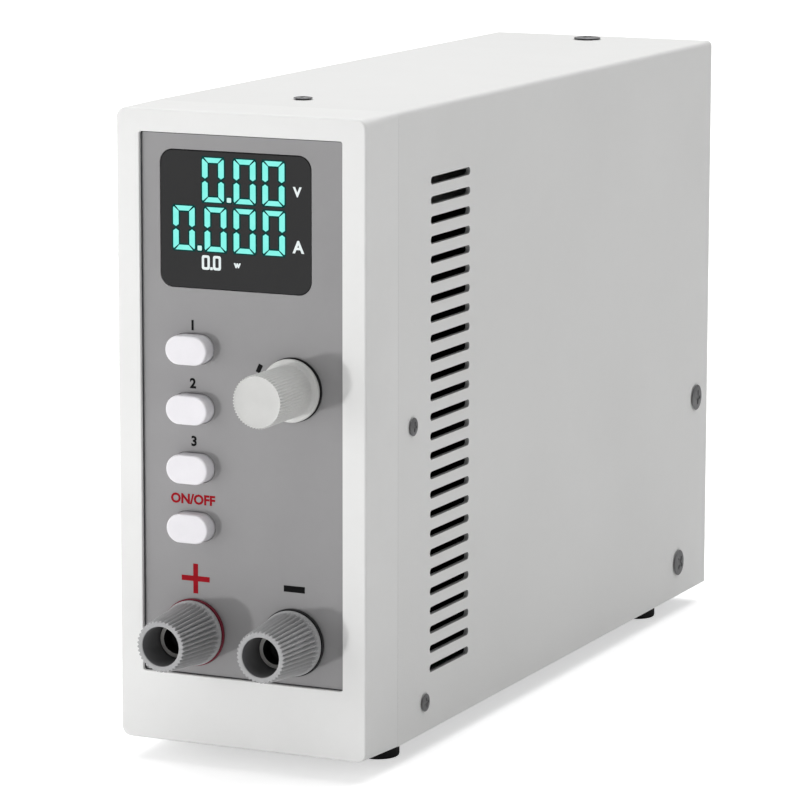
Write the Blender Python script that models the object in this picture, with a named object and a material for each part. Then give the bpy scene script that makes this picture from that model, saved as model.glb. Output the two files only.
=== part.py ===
"""Bench DC electronic load: a slim upright case with a display, four buttons, a knob and two binding posts.

Lengths are in metres. The case frame has x to the right, y from the front face to the rear, z up from the
case bottom. Pieces of the front and of the rear are drawn as seen from outside: x right, y up, z outwards.
"""
import bpy
import bmesh
from math import cos, pi, radians, sin, tan
from mathutils import Vector

# Fits
CLEARANCE = 0.0003
CUT_MARGIN = 0.001
JOIN_DEPTH = 0.0006

# Broken edges and corners of small pieces
EDGE = 0.0004
SMALL_CORNER = 0.0006
SHEET_CORNER = 0.001

# Points of round outlines
FINE = 36
PLAIN = 20
MEDIUM = 16
COARSE = 12
SMALL = 8

# Case
CASE_WIDTH = 0.0685
CASE_HEIGHT = 0.160
CASE_DEPTH = 0.235
FOLD_RADIUS = 0.0022
COVER_SHEET = 0.0012
CHASSIS_SHEET = 0.0012
TRAY_FLANGE = 0.0145

# Vent slots of the cover
SLOT_ROWS = 26
SLOT_TOP_MARGIN = 0.0191
SLOT_LENGTH = 0.0242
SLOT_HEIGHT = 0.0018
SLOT_START = 0.0381
LOWEST_SLOT = 0.0159

# Front bezel
BEZEL_DEPTH = 0.0185
BEZEL_CORNER_RADIUS = 0.0026
BEZEL_EDGE = 0.0004
BEZEL_WALL = 0.0025
BEZEL_FRONT_WALL = 0.003
BEZEL_LIP = 0.0009
BEZEL_TONGUE = 0.003
BEZEL_SIDE_BORDER = 0.0064
BEZEL_TOP_BORDER = 0.0057
BEZEL_CHIN = 0.01765
OPENING_CORNER = 0.0006
BOSS_DIAMETER = 0.006
BOSS_BORE = 0.0025
BOSS_BORE_DEPTH = 0.0115
BOSS_SIDE_DISTANCE = 0.00925
BOSS_HEIGHT = 0.0075

# Front panel and its pillars
PANEL_THICKNESS = 0.0015
PANEL_OVERLAP = 0.0015
PANEL_CORNER = 0.001
PILLAR_DIAMETER = 0.004
PILLAR_SIDE_MARGIN = 0.002
PILLAR_END_MARGIN = 0.003

# Heights on the front panel, as shares of its opening's height from the opening's bottom
WINDOW_HEIGHT_SHARE = 0.25
WINDOW_MIDDLE_SHARE = 0.844
TOP_BUTTON_SHARE = 0.607
BUTTON_PITCH_SHARE = 0.1098
KNOB_SHARE = 0.5456

# Columns of the front panel: how far inside a quarter of the opening's width
COLUMN_INSET = 0.000125

# Display
WINDOW_LEFT_MARGIN = 0.00535
WINDOW_RIGHT_MARGIN = 0.00895
WINDOW_CORNER = 0.0028
WINDOW_EDGE = 0.0002
WINDOW_FLANGE = 0.0012
WINDOW_FLANGE_THICKNESS = 0.001
MODULE_BORDER = 0.0008
MODULE_STEP = 0.0006

# Front circuit board
BOARD_STANDOFF = 0.0063
BOARD_THICKNESS = 0.0016
FRONT_BOARD_SIDE_DISTANCE = 0.00625
FRONT_BOARD_BOTTOM = 0.045
FRONT_BOARD_TOP_DISTANCE = 0.010

# Push buttons and their switches
BUTTON_COUNT = 4
BUTTON_LENGTH = 0.012
BUTTON_WIDTH = 0.0073
BUTTON_REACH = 0.004
BUTTON_EDGE = 0.0005
BUTTON_TRAVEL = 0.0005
BUTTON_FLANGE = 0.001
BUTTON_FLANGE_THICKNESS = 0.0008
STEM_DIAMETER = 0.0034
STEM_ENTRY = 0.0005
SWITCH_SIZE = 0.006
SWITCH_DEPTH = 0.0035

# Rotary encoder and knob
KNOB_REACH = 0.0185
KNOB_FACE_DIAMETER = 0.0133
KNOB_TAPER = 0.0003
KNOB_SKIRT_DIAMETER = 0.0158
KNOB_SKIRT_THICKNESS = 0.0012
KNOB_SKIRT_FILLET = 0.0016
KNOB_EDGE = 0.0005
KNOB_PANEL_GAP = 0.0009
SHAFT_DIAMETER = 0.006
SHAFT_FLAT = 0.0015
KNOB_CROWN = 0.003
ENCODER_SIZE = 0.0124
BUSH_WALL = 0.0007
BUSH_PROUD = 0.0003
ENCODER_FLOOR = 0.0008
NUT_FLATS = 0.010
ENCODER_NUT_THICKNESS = 0.0015

# Binding posts
POST_HEIGHT = 0.0286
COLLAR_DIAMETER = 0.0172
COLLAR_THICKNESS = 0.0006
COLLAR_SIDES = 28
COLLAR_BOSS_DIAMETER = 0.010
CAP_BASE_DIAMETER = 0.0166
CAP_MOUTH_DIAMETER = 0.0132
CAP_LENGTH = 0.0172
CAP_BAND = 0.0019
CAP_RIB_RUN = 0.0006
CAP_RIBS = 30
CAP_RIB_DEPTH = 0.0005
CAP_BORE_DIAMETER = 0.010
SOCKET_DEPTH = 0.0087
SOCKET_BORE_DIAMETER = 0.0072
SOCKET_BORE_DEPTH = 0.004
CONTACT_BORE_DIAMETER = 0.0042
CONTACT_BORE_DEPTH = 0.0205
STUD_DIAMETER = 0.006
STUD_TAIL = 0.0173
WIRE_HOLE_DIAMETER = 0.0024
WASHER_BORDER = 0.001
WASHER_THICKNESS = 0.0008
POST_NUT_THICKNESS = 0.0035

# Input leads and their terminal block
LEAD_DIAMETER = 0.0036
LEAD_ENTRY = 0.002
LEAD_APPROACH = 0.003
BLOCK_SPREAD = 0.008
BLOCK_WIDTH = 0.028
BLOCK_LENGTH = 0.010
BLOCK_HEIGHT = 0.0095
BLOCK_HOLE_DEPTH = 0.006
BLOCK_SETBACK = 0.002

# Feet
FOOT_HEIGHT = 0.0055
FOOT_DIAMETER = 0.011
FOOT_EDGE = 0.0006
FOOT_SIDE_DISTANCE = 0.01025
FOOT_END_DISTANCE = 0.029
FOOT_STEM_DIAMETER = 0.004
FOOT_BARB = 0.0006
FOOT_BARB_LENGTH = 0.002

# Screws of the cover: distances from the front face, or from the rear for the rear ones
SCREW_SHANK = 0.003
SCREW_SIDES = 10
HEAD_RIM = 0.45
HEAD_TOP = 0.7
SCREW_LENGTH = 0.006
SMALL_HEAD = 0.0049
LARGE_HEAD = 0.0078
SMALL_HEAD_HEIGHT = 0.001
LARGE_HEAD_HEIGHT = 0.0012
FRONT_MID_DISTANCE = 0.0273
FRONT_LOW_DISTANCE = 0.0349
REAR_MID_DISTANCE = 0.0094
REAR_LOW_DISTANCE = 0.0222
FRONT_TOP_SCREW = 0.0356
REAR_TOP_DISTANCE = 0.0115
FRONT_MID_HEIGHT_SHARE = 0.502
FRONT_LOW_HEIGHT = 0.0079
REAR_MID_FAN_DISTANCE = 0.0036
REAR_LOW_HEIGHT = 0.0099

# Front bracket and rear panel flanges
BRACKET_TAB_LENGTH = 0.012
BRACKET_TAB_HEIGHT = 0.020
BRACKET_TOP_TAB = (0.024, 0.019)
BRACKET_FOOT_TAB_LENGTH = 0.012
BRACKET_FOOT_TAB_INSET = 0.004
BRACKET_RIM = 0.009
BRACKET_BAR_HEIGHT = 0.053
BRACKET_BAR = 0.006
REAR_FLANGE = 0.014
REAR_TOP_FLANGE = (0.044, 0.017)

# Fan and its grille
FAN_SIDE_DISTANCE = 0.00425
FAN_CORNER = 0.004
FAN_THICKNESS = 0.020
FAN_HEIGHT_SHARE = 0.56
FAN_DUCT_WALL = 0.0015
FAN_HOLE_INSET = 0.005
FAN_HOLE_DIAMETER = 0.0043
BLADE_TIP_GAP = 0.0012
HUB_DIAMETER = 0.027
HUB_PLATE = 0.003
HUB_FLOOR = 0.0008
HUB_EDGE = 0.001
STRUT_WIDTH = 0.003
ROTOR_GAP = 0.0005
ROTOR_FRONT_GAP = 0.002
ROTOR_SHAFT_DIAMETER = 0.003
BLADE_COUNT = 7
BLADE_THICKNESS = 0.0012
BLADE_ROOT_SWEEP = 0.007
BLADE_TIP_SWEEP = 0.013
BLADE_CAMBER = 0.12
BLADE_TIP_SHARE = 0.6
BLADE_BULGE = 0.8
GRILLE_RINGS = 4
GRILLE_EYE_RADIUS = 0.0057
GRILLE_RIB = 0.002
GRILLE_SPOKES = 4
GRILLE_SPOKE = 0.003

# Mains inlet
INLET_HEIGHT = 0.0245
INLET_FLANGE = (0.048, 0.0224, 0.0025)
INLET_BODY = (0.0274, 0.0200, 0.018)
INLET_CAVITY = (0.0244, 0.0168, 0.0155)
INLET_CHAMFER = 0.0045
INLET_CORNER = 0.003
PIN_WIDTH = 0.002
PIN_HEIGHT = 0.004
PIN_SPREAD = 0.007
PIN_DROP = 0.002
PIN_LENGTH = 0.0115

# Rocker switch
SWITCH_TOP_DISTANCE = 0.018
SWITCH_FLANGE = (0.015, 0.021, 0.002)
SWITCH_BODY = (0.0126, 0.0186, 0.014)
ROCKER_WIDTH = 0.010
ROCKER_LENGTH = 0.016
ROCKER_ROOM = 0.0012
ROCKER_ANGLE = radians(8)
ROCKER_VALLEY = 0.0018
ROCKER_PIVOT = 0.001
ROCKER_KEEL = 0.0025
SWITCH_CAVITY_DEPTH = 0.0085

# Main board and what it carries
MAIN_BOARD_SIDE_DISTANCE = 0.00525
MAIN_BOARD_START = 0.042
MAIN_BOARD_REAR_DISTANCE = 0.030
MAIN_BOARD_HEIGHT = 0.008
STANDOFF_DIAMETER = 0.005
STANDOFF_SIDE_MARGIN = 0.0045
STANDOFF_END_MARGIN = 0.008
BOARD_HOLE = 0.0026
SINK_START = 0.080
SINK_REAR_DISTANCE = 0.055
SINK_TOP_DISTANCE = 0.038
SINK_BASE_X = 0.001
SINK_BASE = 0.006
SINK_SIDE_DISTANCE = 0.00525
SINK_FIN = 0.0018
SINK_FINS = 12
TRANSISTOR_SIZE = (0.016, 0.021, 0.005)
TRANSISTOR_SHARES = (0.15, 0.45)
TRANSISTOR_LEG = (0.0012, 0.0006, 0.0145)
TRANSISTOR_LEG_PITCH = 0.0054
TRANSISTOR_HOLE = 0.0036
TRANSISTOR_HOLE_DROP = 0.006
CAPACITOR_DIAMETER = 0.018
CAPACITOR_HEIGHT = 0.030
CAPACITOR_GROOVE = 0.0007
CAPACITOR_GROOVE_HEIGHT = 0.0035
CAPACITOR_SIDE_DISTANCE = 0.01625
CAPACITOR_DISTANCE = 0.082
CORE_SIZE = (0.026, 0.024, 0.018)
CORE_WINDOW = (0.0052, 0.014)
CORE_LEG = 0.008
TRANSFORMER_REAR_DISTANCE = 0.055

# Worked out from the sizes above
SIDE_GAP = COVER_SHEET + CLEARANCE
CHASSIS_WIDTH = CASE_WIDTH - 2 * SIDE_GAP
CHASSIS_TOP = CASE_HEIGHT - SIDE_GAP
OPENING_WIDTH = CASE_WIDTH - 2 * BEZEL_SIDE_BORDER
OPENING_HEIGHT = CASE_HEIGHT - BEZEL_TOP_BORDER - BEZEL_CHIN
OPENING_CENTRE = (0.0, BEZEL_CHIN + OPENING_HEIGHT / 2)
BOSS_SPREAD = CASE_WIDTH / 2 - BOSS_SIDE_DISTANCE
COLUMN_SPREAD = OPENING_WIDTH / 4 - COLUMN_INSET
WINDOW_WIDTH = OPENING_WIDTH - WINDOW_LEFT_MARGIN - WINDOW_RIGHT_MARGIN
WINDOW_HEIGHT = WINDOW_HEIGHT_SHARE * OPENING_HEIGHT
WINDOW_CENTRE = ((WINDOW_LEFT_MARGIN - WINDOW_RIGHT_MARGIN) / 2,
                 BEZEL_CHIN + WINDOW_MIDDLE_SHARE * OPENING_HEIGHT)
TOP_BUTTON_HEIGHT = BEZEL_CHIN + TOP_BUTTON_SHARE * OPENING_HEIGHT
BUTTON_PITCH = BUTTON_PITCH_SHARE * OPENING_HEIGHT
KNOB_HEIGHT = BEZEL_CHIN + KNOB_SHARE * OPENING_HEIGHT
FRONT_BOARD_WIDTH = CASE_WIDTH - 2 * FRONT_BOARD_SIDE_DISTANCE
FRONT_BOARD_TOP = CASE_HEIGHT - FRONT_BOARD_TOP_DISTANCE
PILLAR_SPREAD = FRONT_BOARD_WIDTH / 2 - PILLAR_SIDE_MARGIN
FOOT_SPREAD = CASE_WIDTH / 2 - FOOT_SIDE_DISTANCE
SLOT_PITCH = (CASE_HEIGHT - SLOT_TOP_MARGIN - LOWEST_SLOT) / (SLOT_ROWS - 1)
BEZEL_BACK = BEZEL_DEPTH + BEZEL_TONGUE
PANEL_FACE = -(BEZEL_LIP + CLEARANCE)
PANEL_BACK = PANEL_FACE - PANEL_THICKNESS
BEHIND_PANEL = PANEL_BACK - CLEARANCE
WINDOW_BACK = BEHIND_PANEL - WINDOW_FLANGE_THICKNESS
BOARD_FACE = PANEL_BACK - BOARD_STANDOFF
BOARD_TOP = BOARD_FACE + CLEARANCE
BUSH_RADIUS = SHAFT_DIAMETER / 2 + CLEARANCE + BUSH_WALL
NUT_BACK = PANEL_FACE + CLEARANCE
NUT_FRONT = NUT_BACK + ENCODER_NUT_THICKNESS
BUSH_FRONT = NUT_FRONT + BUSH_PROUD
KNOB_BACK = PANEL_FACE + KNOB_PANEL_GAP
COLLAR_BACK = PANEL_FACE + CLEARANCE
COLLAR_FRONT = COLLAR_BACK + COLLAR_THICKNESS
CAP_BACK = COLLAR_FRONT + CLEARANCE
CAP_MOUTH = CAP_BACK + CAP_LENGTH
STUD_FRONT = CAP_MOUTH - SOCKET_DEPTH
STUD_BACK = PANEL_BACK - STUD_TAIL
BRACKET_FRONT = BEZEL_BACK + CLEARANCE
TRAY_START = BRACKET_FRONT + CHASSIS_SHEET + CLEARANCE
TRAY_END = CASE_DEPTH - CHASSIS_SHEET - CLEARANCE
SWITCH_HEIGHT = CASE_HEIGHT - SWITCH_TOP_DISTANCE
FAN_SIZE = CASE_WIDTH - 2 * FAN_SIDE_DISTANCE
FAN_HEIGHT = INLET_HEIGHT + FAN_HEIGHT_SHARE * (SWITCH_HEIGHT - INLET_HEIGHT)
FAN_DUCT_DIAMETER = FAN_SIZE - 2 * FAN_DUCT_WALL
FAN_HOLE_PITCH = FAN_SIZE - 2 * FAN_HOLE_INSET
ROTOR_DIAMETER = FAN_DUCT_DIAMETER - 2 * BLADE_TIP_GAP
GRILLE_PITCH = (FAN_DUCT_DIAMETER / 2 + GRILLE_RIB - GRILLE_EYE_RADIUS) / GRILLE_RINGS
GRILLE_SLOT = GRILLE_PITCH - GRILLE_RIB
FRONT_MID_SCREW = (FRONT_MID_DISTANCE, FRONT_MID_HEIGHT_SHARE * CASE_HEIGHT)
FRONT_LOW_SCREW = (FRONT_LOW_DISTANCE, FRONT_LOW_HEIGHT)
REAR_MID_SCREW = (CASE_DEPTH - REAR_MID_DISTANCE, FAN_HEIGHT - FAN_SIZE / 2 - REAR_MID_FAN_DISTANCE)
REAR_LOW_SCREW = (CASE_DEPTH - REAR_LOW_DISTANCE, REAR_LOW_HEIGHT)
REAR_TOP_SCREW = CASE_DEPTH - REAR_TOP_DISTANCE
MAIN_BOARD_WIDTH = CASE_WIDTH - 2 * MAIN_BOARD_SIDE_DISTANCE
MAIN_BOARD_END = CASE_DEPTH - MAIN_BOARD_REAR_DISTANCE
STANDOFF_SPREAD = MAIN_BOARD_WIDTH / 2 - STANDOFF_SIDE_MARGIN
MAIN_BOARD_TOP = MAIN_BOARD_HEIGHT + BOARD_THICKNESS
ON_MAIN_BOARD = MAIN_BOARD_TOP + CLEARANCE
SINK_END = CASE_DEPTH - SINK_REAR_DISTANCE
SINK_TOP = CASE_HEIGHT - SINK_TOP_DISTANCE
TRANSISTOR_STARTS = [SINK_START + share * (SINK_END - SINK_START) for share in TRANSISTOR_SHARES]
CAPACITOR_PLACE = (CAPACITOR_SIDE_DISTANCE - CASE_WIDTH / 2, CAPACITOR_DISTANCE)
TRANSFORMER_X = (SINK_BASE_X + CHASSIS_SHEET - CHASSIS_WIDTH / 2) / 2
TRANSFORMER_PLACE = (TRANSFORMER_X, CASE_DEPTH - TRANSFORMER_REAR_DISTANCE)
ROCKER_RISE = ROCKER_VALLEY + ROCKER_LENGTH / 2 * tan(ROCKER_ANGLE)
REAR_REACH = ROCKER_PIVOT + ROCKER_LENGTH / 2 * sin(ROCKER_ANGLE) + ROCKER_RISE * cos(ROCKER_ANGLE)
FRONT_REACH = max(KNOB_REACH, CAP_MOUTH)
FRONT_Y = -(CASE_DEPTH + REAR_REACH - FRONT_REACH) / 2

FACING_FRONT = (pi / 2, 0, 0)
FACING_REAR = (pi / 2, 0, pi)
FACING_RIGHT = (pi / 2, 0, pi / 2)
FACING_LEFT = (pi / 2, 0, -pi / 2)
FACING_UP = (0, 0, 0)
ALONG_X = (0, pi / 2, 0)
ALONG_Y = (-pi / 2, 0, 0)


# Outlines: lists of (x, y) points, counter-clockwise


def circle(radius, count, centre=(0, 0), phase=0.0):
    angles = [phase + 2 * pi * i / count for i in range(count)]
    return [(centre[0] + radius * cos(a), centre[1] + radius * sin(a)) for a in angles]


def rounded_rectangle(width, height, radius, steps, centre=(0, 0)):
    points = []
    for corner, (side_x, side_y) in enumerate(((1, 1), (-1, 1), (-1, -1), (1, -1))):
        middle_x = centre[0] + side_x * (width / 2 - radius)
        middle_y = centre[1] + side_y * (height / 2 - radius)
        for i in range(steps + 1):
            angle = pi / 2 * (corner + i / steps)
            points.append((middle_x + radius * cos(angle), middle_y + radius * sin(angle)))
    return points


def matching_circle(radius, steps, centre=(0, 0)):
    """A circle with the points of a rounded rectangle of the same steps."""
    count = 4 * (steps + 1)
    return circle(radius, count, centre, pi / count)


def stadium(length, width, steps, centre=(0, 0)):
    radius = width / 2
    reach = length / 2 - radius
    points = []
    for side in (1, -1):
        for i in range(steps + 1):
            angle = pi * (i / steps - 0.5) + (0 if side > 0 else pi)
            points.append((centre[0] + side * reach + radius * cos(angle), centre[1] + radius * sin(angle)))
    return points


def stadium_circle(radius, steps, centre=(0, 0)):
    """A circle with the points of a stadium of the same steps."""
    count = 2 * (steps + 1)
    return circle(radius, count, centre, -pi / 2 + pi / count)


def rectangle(x0, y0, x1, y1):
    return [(x1, y1), (x0, y1), (x0, y0), (x1, y0)]


def hexagon(across_flats, count):
    points = []
    for i in range(count):
        angle = 2 * pi * i / count
        radius = across_flats / 2 / cos(angle % (pi / 3) - pi / 6)
        points.append((radius * cos(angle), radius * sin(angle)))
    return points


def flat_sided_circle(radius, flat, count):
    return [(x, min(y, flat)) for x, y in circle(radius, count)]


def ribbed_circle(crest, depth, ribs, points_per_rib):
    """Ribs round a circle: all points of a rib are crest points, but the last is the valley."""
    points = []
    for i in range(ribs * points_per_rib):
        radius = crest - depth if i % points_per_rib == points_per_rib - 1 else crest
        angle = 2 * pi * i / (ribs * points_per_rib)
        points.append((radius * cos(angle), radius * sin(angle)))
    return points


def plus(reach, width):
    half = width / 2
    quarter = [(reach, -half), (reach, half), (half, half)]
    points = []
    for turn in range(4):
        c, s = round(cos(turn * pi / 2)), round(sin(turn * pi / 2))
        points += [(x * c - y * s, x * s + y * c) for x, y in quarter]
    return points


def arc_band(inner, outer, start, end, steps, centre):
    angles = [start + (end - start) * i / steps for i in range(steps + 1)]
    points = [(outer, a) for a in angles] + [(inner, a) for a in reversed(angles)]
    return [(centre[0] + r * cos(a), centre[1] + r * sin(a)) for r, a in points]


def fold_path(width, height, radius, steps):
    """An upside-down U, from the lower right end over the top to the lower left end."""
    half = width / 2
    points = [(half, 0.0)]
    for side, start in ((1, 0.0), (-1, pi / 2)):
        for i in range(steps + 1):
            angle = start + pi / 2 * i / steps
            x = side * (half - radius) + radius * cos(angle)
            points.append((x, height - radius + radius * sin(angle)))
    points.append((-half, 0.0))
    return points


# Meshes and objects


def loft(shape, loops, ring=False):
    """Skin loops of 3-D points in order. A ring joins the last to the first, else both ends are capped."""
    rows = [[shape.verts.new(point) for point in loop] for loop in loops]
    pairs = list(zip(rows, rows[1:]))
    if ring:
        pairs.append((rows[-1], rows[0]))
    else:
        shape.faces.new(list(reversed(rows[0])))
        shape.faces.new(rows[-1])
    for low, high in pairs:
        for i in range(len(low)):
            j = (i + 1) % len(low)
            shape.faces.new((low[i], low[j], high[j], high[i]))


def mesh_of(name, shape):
    bmesh.ops.recalc_face_normals(shape, faces=shape.faces)
    mesh = bpy.data.meshes.new(name)
    shape.to_mesh(mesh)
    shape.free()
    mesh.shade_smooth()
    mesh.set_sharp_from_angle(angle=radians(35))
    return mesh


def stacks(name, *solids, ring=False):
    """Separate solids in one mesh, each a list of (outline, z) layers."""
    shape = bmesh.new()
    for layers in solids:
        loft(shape, [[(x, y, z) for x, y in outline] for outline, z in layers], ring)
    return mesh_of(name, shape)


def turned(name, profile, count, ring=False):
    """A solid turned round z from (radius, z) points."""
    return stacks(name, [(circle(radius, count), z) for radius, z in profile], ring=ring)


def prisms(name, outlines, low, high):
    return stacks(name, *[[(outline, low), (outline, high)] for outline in outlines])


def folded_sheet(name, outer, inner, start, end):
    """A sheet bent along a path of (x, z) points, drawn out along y."""
    loops = []
    for path, y in ((outer, start), (outer, end), (inner, end), (inner, start)):
        loops.append([(x, y, z) for x, z in path])
    shape = bmesh.new()
    rows = [[shape.verts.new(point) for point in loop] for loop in loops]
    for low, high in zip(rows, rows[1:] + rows[:1]):
        for i in range(len(low) - 1):
            shape.faces.new((low[i], low[i + 1], high[i + 1], high[i]))
    shape.faces.new([row[0] for row in rows])
    shape.faces.new([row[-1] for row in reversed(rows)])
    return mesh_of(name, shape)


def finish(name, colour, roughness, metallic=0.0):
    material = bpy.data.materials.new(name)
    material.use_nodes = True
    shader = material.node_tree.nodes["Principled BSDF"]
    shader.inputs["Base Color"].default_value = (*colour, 1.0)
    shader.inputs["Roughness"].default_value = roughness
    shader.inputs["Metallic"].default_value = metallic
    return material


def place(name, mesh, material, parent, location=(0, 0, 0), rotation=(0, 0, 0)):
    obj = bpy.data.objects.new(name, mesh)
    bpy.context.scene.collection.objects.link(obj)
    if not mesh.materials:
        mesh.materials.append(material)
    obj.parent = parent
    obj.location = location
    obj.rotation_euler = rotation
    return obj


def frame(name, parent=None, location=(0, 0, 0), rotation=(0, 0, 0)):
    empty = bpy.data.objects.new(name, None)
    bpy.context.scene.collection.objects.link(empty)
    empty.parent = parent
    empty.location = location
    empty.rotation_euler = rotation
    return empty


def combine(target, operation, mesh, rotation=None):
    """Cut a mesh out of the target or join it on, in the target's own frame unless a rotation is given."""
    tool = bpy.data.objects.new(f"{target.name}_{mesh.name}", mesh)
    bpy.context.scene.collection.objects.link(tool)
    tool.parent = target.parent
    tool.location = target.location
    tool.rotation_euler = target.rotation_euler if rotation is None else rotation
    tool.hide_render = True
    tool.display_type = "WIRE"
    modifier = target.modifiers.new(mesh.name, "BOOLEAN")
    modifier.operation = operation
    modifier.solver = "EXACT"
    modifier.object = tool


def cut(target, mesh, rotation=None):
    combine(target, "DIFFERENCE", mesh, rotation)


def join(target, mesh, rotation=None):
    combine(target, "UNION", mesh, rotation)


# Front assembly


def front_bezel(front, white):
    middle = (0, CASE_HEIGHT / 2)
    inner_corner = BEZEL_CORNER_RADIUS / 2
    steps = 4

    def shell(inset, radius):
        return rounded_rectangle(CASE_WIDTH - 2 * inset, CASE_HEIGHT - 2 * inset, radius, steps, middle)

    def round_opening(grow, radius):
        size = (OPENING_WIDTH + 2 * grow, OPENING_HEIGHT + 2 * grow)
        return rounded_rectangle(*size, radius, steps, OPENING_CENTRE)

    rebate = round_opening(PANEL_OVERLAP + CLEARANCE, PANEL_CORNER)
    opening = round_opening(0, OPENING_CORNER)
    outer = shell(0, BEZEL_CORNER_RADIUS)
    tongue = shell(SIDE_GAP, inner_corner)
    inner = shell(BEZEL_WALL, inner_corner)
    mesh = stacks("front_bezel", [
        (shell(BEZEL_EDGE, BEZEL_CORNER_RADIUS - BEZEL_EDGE), 0),
        (outer, -BEZEL_EDGE),
        (outer, -BEZEL_DEPTH),
        (tongue, -BEZEL_DEPTH),
        (tongue, -BEZEL_BACK),
        (inner, -BEZEL_BACK),
        (inner, -BEZEL_FRONT_WALL),
        (rebate, -BEZEL_FRONT_WALL),
        (rebate, -BEZEL_LIP),
        (opening, -BEZEL_LIP),
        (opening, 0),
    ], ring=True)
    bezel = place("front_bezel", mesh, white, front)
    bosses = []
    for side in (1, -1):
        centre = (side * BOSS_SPREAD, BOSS_HEIGHT)
        wall = circle(BOSS_DIAMETER / 2, COARSE, centre)
        bore = circle(BOSS_BORE / 2, COARSE, centre)
        start = JOIN_DEPTH - BEZEL_FRONT_WALL
        floor = BOSS_BORE_DEPTH - BEZEL_BACK
        bosses.append([(wall, start), (wall, -BEZEL_BACK), (bore, -BEZEL_BACK), (bore, floor)])
    join(bezel, stacks("screw_bosses", *bosses))


def button_heights():
    return [TOP_BUTTON_HEIGHT - i * BUTTON_PITCH for i in range(BUTTON_COUNT)]


def pillar_places():
    heights = (FRONT_BOARD_BOTTOM + PILLAR_END_MARGIN, FRONT_BOARD_TOP - PILLAR_END_MARGIN)
    return [(side * PILLAR_SPREAD, height) for side in (1, -1) for height in heights]


def front_panel(front, grey):
    size = (OPENING_WIDTH + 2 * PANEL_OVERLAP, OPENING_HEIGHT + 2 * PANEL_OVERLAP)
    outline = rounded_rectangle(*size, PANEL_CORNER, 2, OPENING_CENTRE)
    panel = place("front_panel", prisms("front_panel", [outline], PANEL_BACK, PANEL_FACE), grey, front)
    fit = 2 * CLEARANCE
    window = (WINDOW_WIDTH + fit, WINDOW_HEIGHT + fit)
    holes = [
        rounded_rectangle(*window, WINDOW_CORNER + CLEARANCE, 4, WINDOW_CENTRE),
        circle(BUSH_RADIUS + CLEARANCE, COARSE, (COLUMN_SPREAD, KNOB_HEIGHT)),
    ]
    for height in button_heights():
        holes.append(stadium(BUTTON_LENGTH + fit, BUTTON_WIDTH + fit, 5, (-COLUMN_SPREAD, height)))
    for side in (1, -1):
        post = (side * COLUMN_SPREAD, POST_HEIGHT)
        holes.append(circle(COLLAR_BOSS_DIAMETER / 2 + CLEARANCE, COARSE, post))
    cut(panel, prisms("panel_holes", holes, PANEL_BACK - CUT_MARGIN, PANEL_FACE + CUT_MARGIN))
    pillars = [circle(PILLAR_DIAMETER / 2, SMALL, centre) for centre in pillar_places()]
    join(panel, prisms("pillars", pillars, BOARD_TOP, PANEL_BACK + JOIN_DEPTH))


def display(front, smoked, glass):
    def outline(grow):
        size = (WINDOW_WIDTH + 2 * grow, WINDOW_HEIGHT + 2 * grow)
        return rounded_rectangle(*size, WINDOW_CORNER + grow, 4, WINDOW_CENTRE)

    window = stacks("display_window", [
        (outline(WINDOW_FLANGE), WINDOW_BACK),
        (outline(WINDOW_FLANGE), BEHIND_PANEL),
        (outline(0), BEHIND_PANEL),
        (outline(0), PANEL_FACE - WINDOW_EDGE),
        (outline(-WINDOW_EDGE), PANEL_FACE),
    ])
    place("display_window", window, smoked, front)
    face = WINDOW_BACK - CLEARANCE
    body = outline(-MODULE_BORDER)
    step = outline(-2 * MODULE_BORDER)
    module = stacks("display_module", [
        (body, BOARD_TOP),
        (body, face - MODULE_STEP),
        (step, face - MODULE_STEP),
        (step, face),
    ])
    place("display_module", module, glass, front)


def front_circuit_board(front, green):
    centre = (0, (FRONT_BOARD_BOTTOM + FRONT_BOARD_TOP) / 2)
    height = FRONT_BOARD_TOP - FRONT_BOARD_BOTTOM
    outline = rounded_rectangle(FRONT_BOARD_WIDTH, height, SHEET_CORNER, 2, centre)
    back = BOARD_FACE - BOARD_THICKNESS
    blank = prisms("front_circuit_board", [outline], back, BOARD_FACE)
    board = place("front_circuit_board", blank, green, front)
    holes = [circle(BOARD_HOLE / 2, SMALL, place_of) for place_of in pillar_places()]
    cut(board, prisms("board_holes", holes, back - CUT_MARGIN, BOARD_FACE + CUT_MARGIN))


def push_buttons(front, white, black):
    steps = 5
    switch_front = BOARD_TOP + SWITCH_DEPTH
    bore_floor = switch_front - STEM_ENTRY - BUTTON_TRAVEL - 2 * CLEARANCE
    cap_front = PANEL_FACE + BUTTON_REACH
    flange_back = BEHIND_PANEL - BUTTON_FLANGE_THICKNESS
    stem = stadium_circle(STEM_DIAMETER / 2, steps)
    flange = stadium(BUTTON_LENGTH + 2 * BUTTON_FLANGE, BUTTON_WIDTH + 2 * BUTTON_FLANGE, steps)

    def cap(inset):
        return stadium(BUTTON_LENGTH - 2 * inset, BUTTON_WIDTH - 2 * inset, steps)

    button = stacks("button", [
        (stem, switch_front - STEM_ENTRY),
        (stem, flange_back),
        (flange, flange_back),
        (flange, BEHIND_PANEL),
        (cap(0), BEHIND_PANEL),
        (cap(0), cap_front - BUTTON_EDGE),
        (cap(BUTTON_EDGE), cap_front),
    ])
    body = rounded_rectangle(SWITCH_SIZE, SWITCH_SIZE, SMALL_CORNER, 2)
    bore = matching_circle(STEM_DIAMETER / 2 + CLEARANCE, 2)
    switch = stacks("switch", [
        (body, BOARD_TOP),
        (body, switch_front),
        (bore, switch_front),
        (bore, bore_floor),
    ])
    for number, height in enumerate(button_heights(), 1):
        place(f"button_{number}", button, white, front, (-COLUMN_SPREAD, height, 0))
        place(f"tact_switch_{number}", switch, black, front, (-COLUMN_SPREAD, height, 0))


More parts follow.
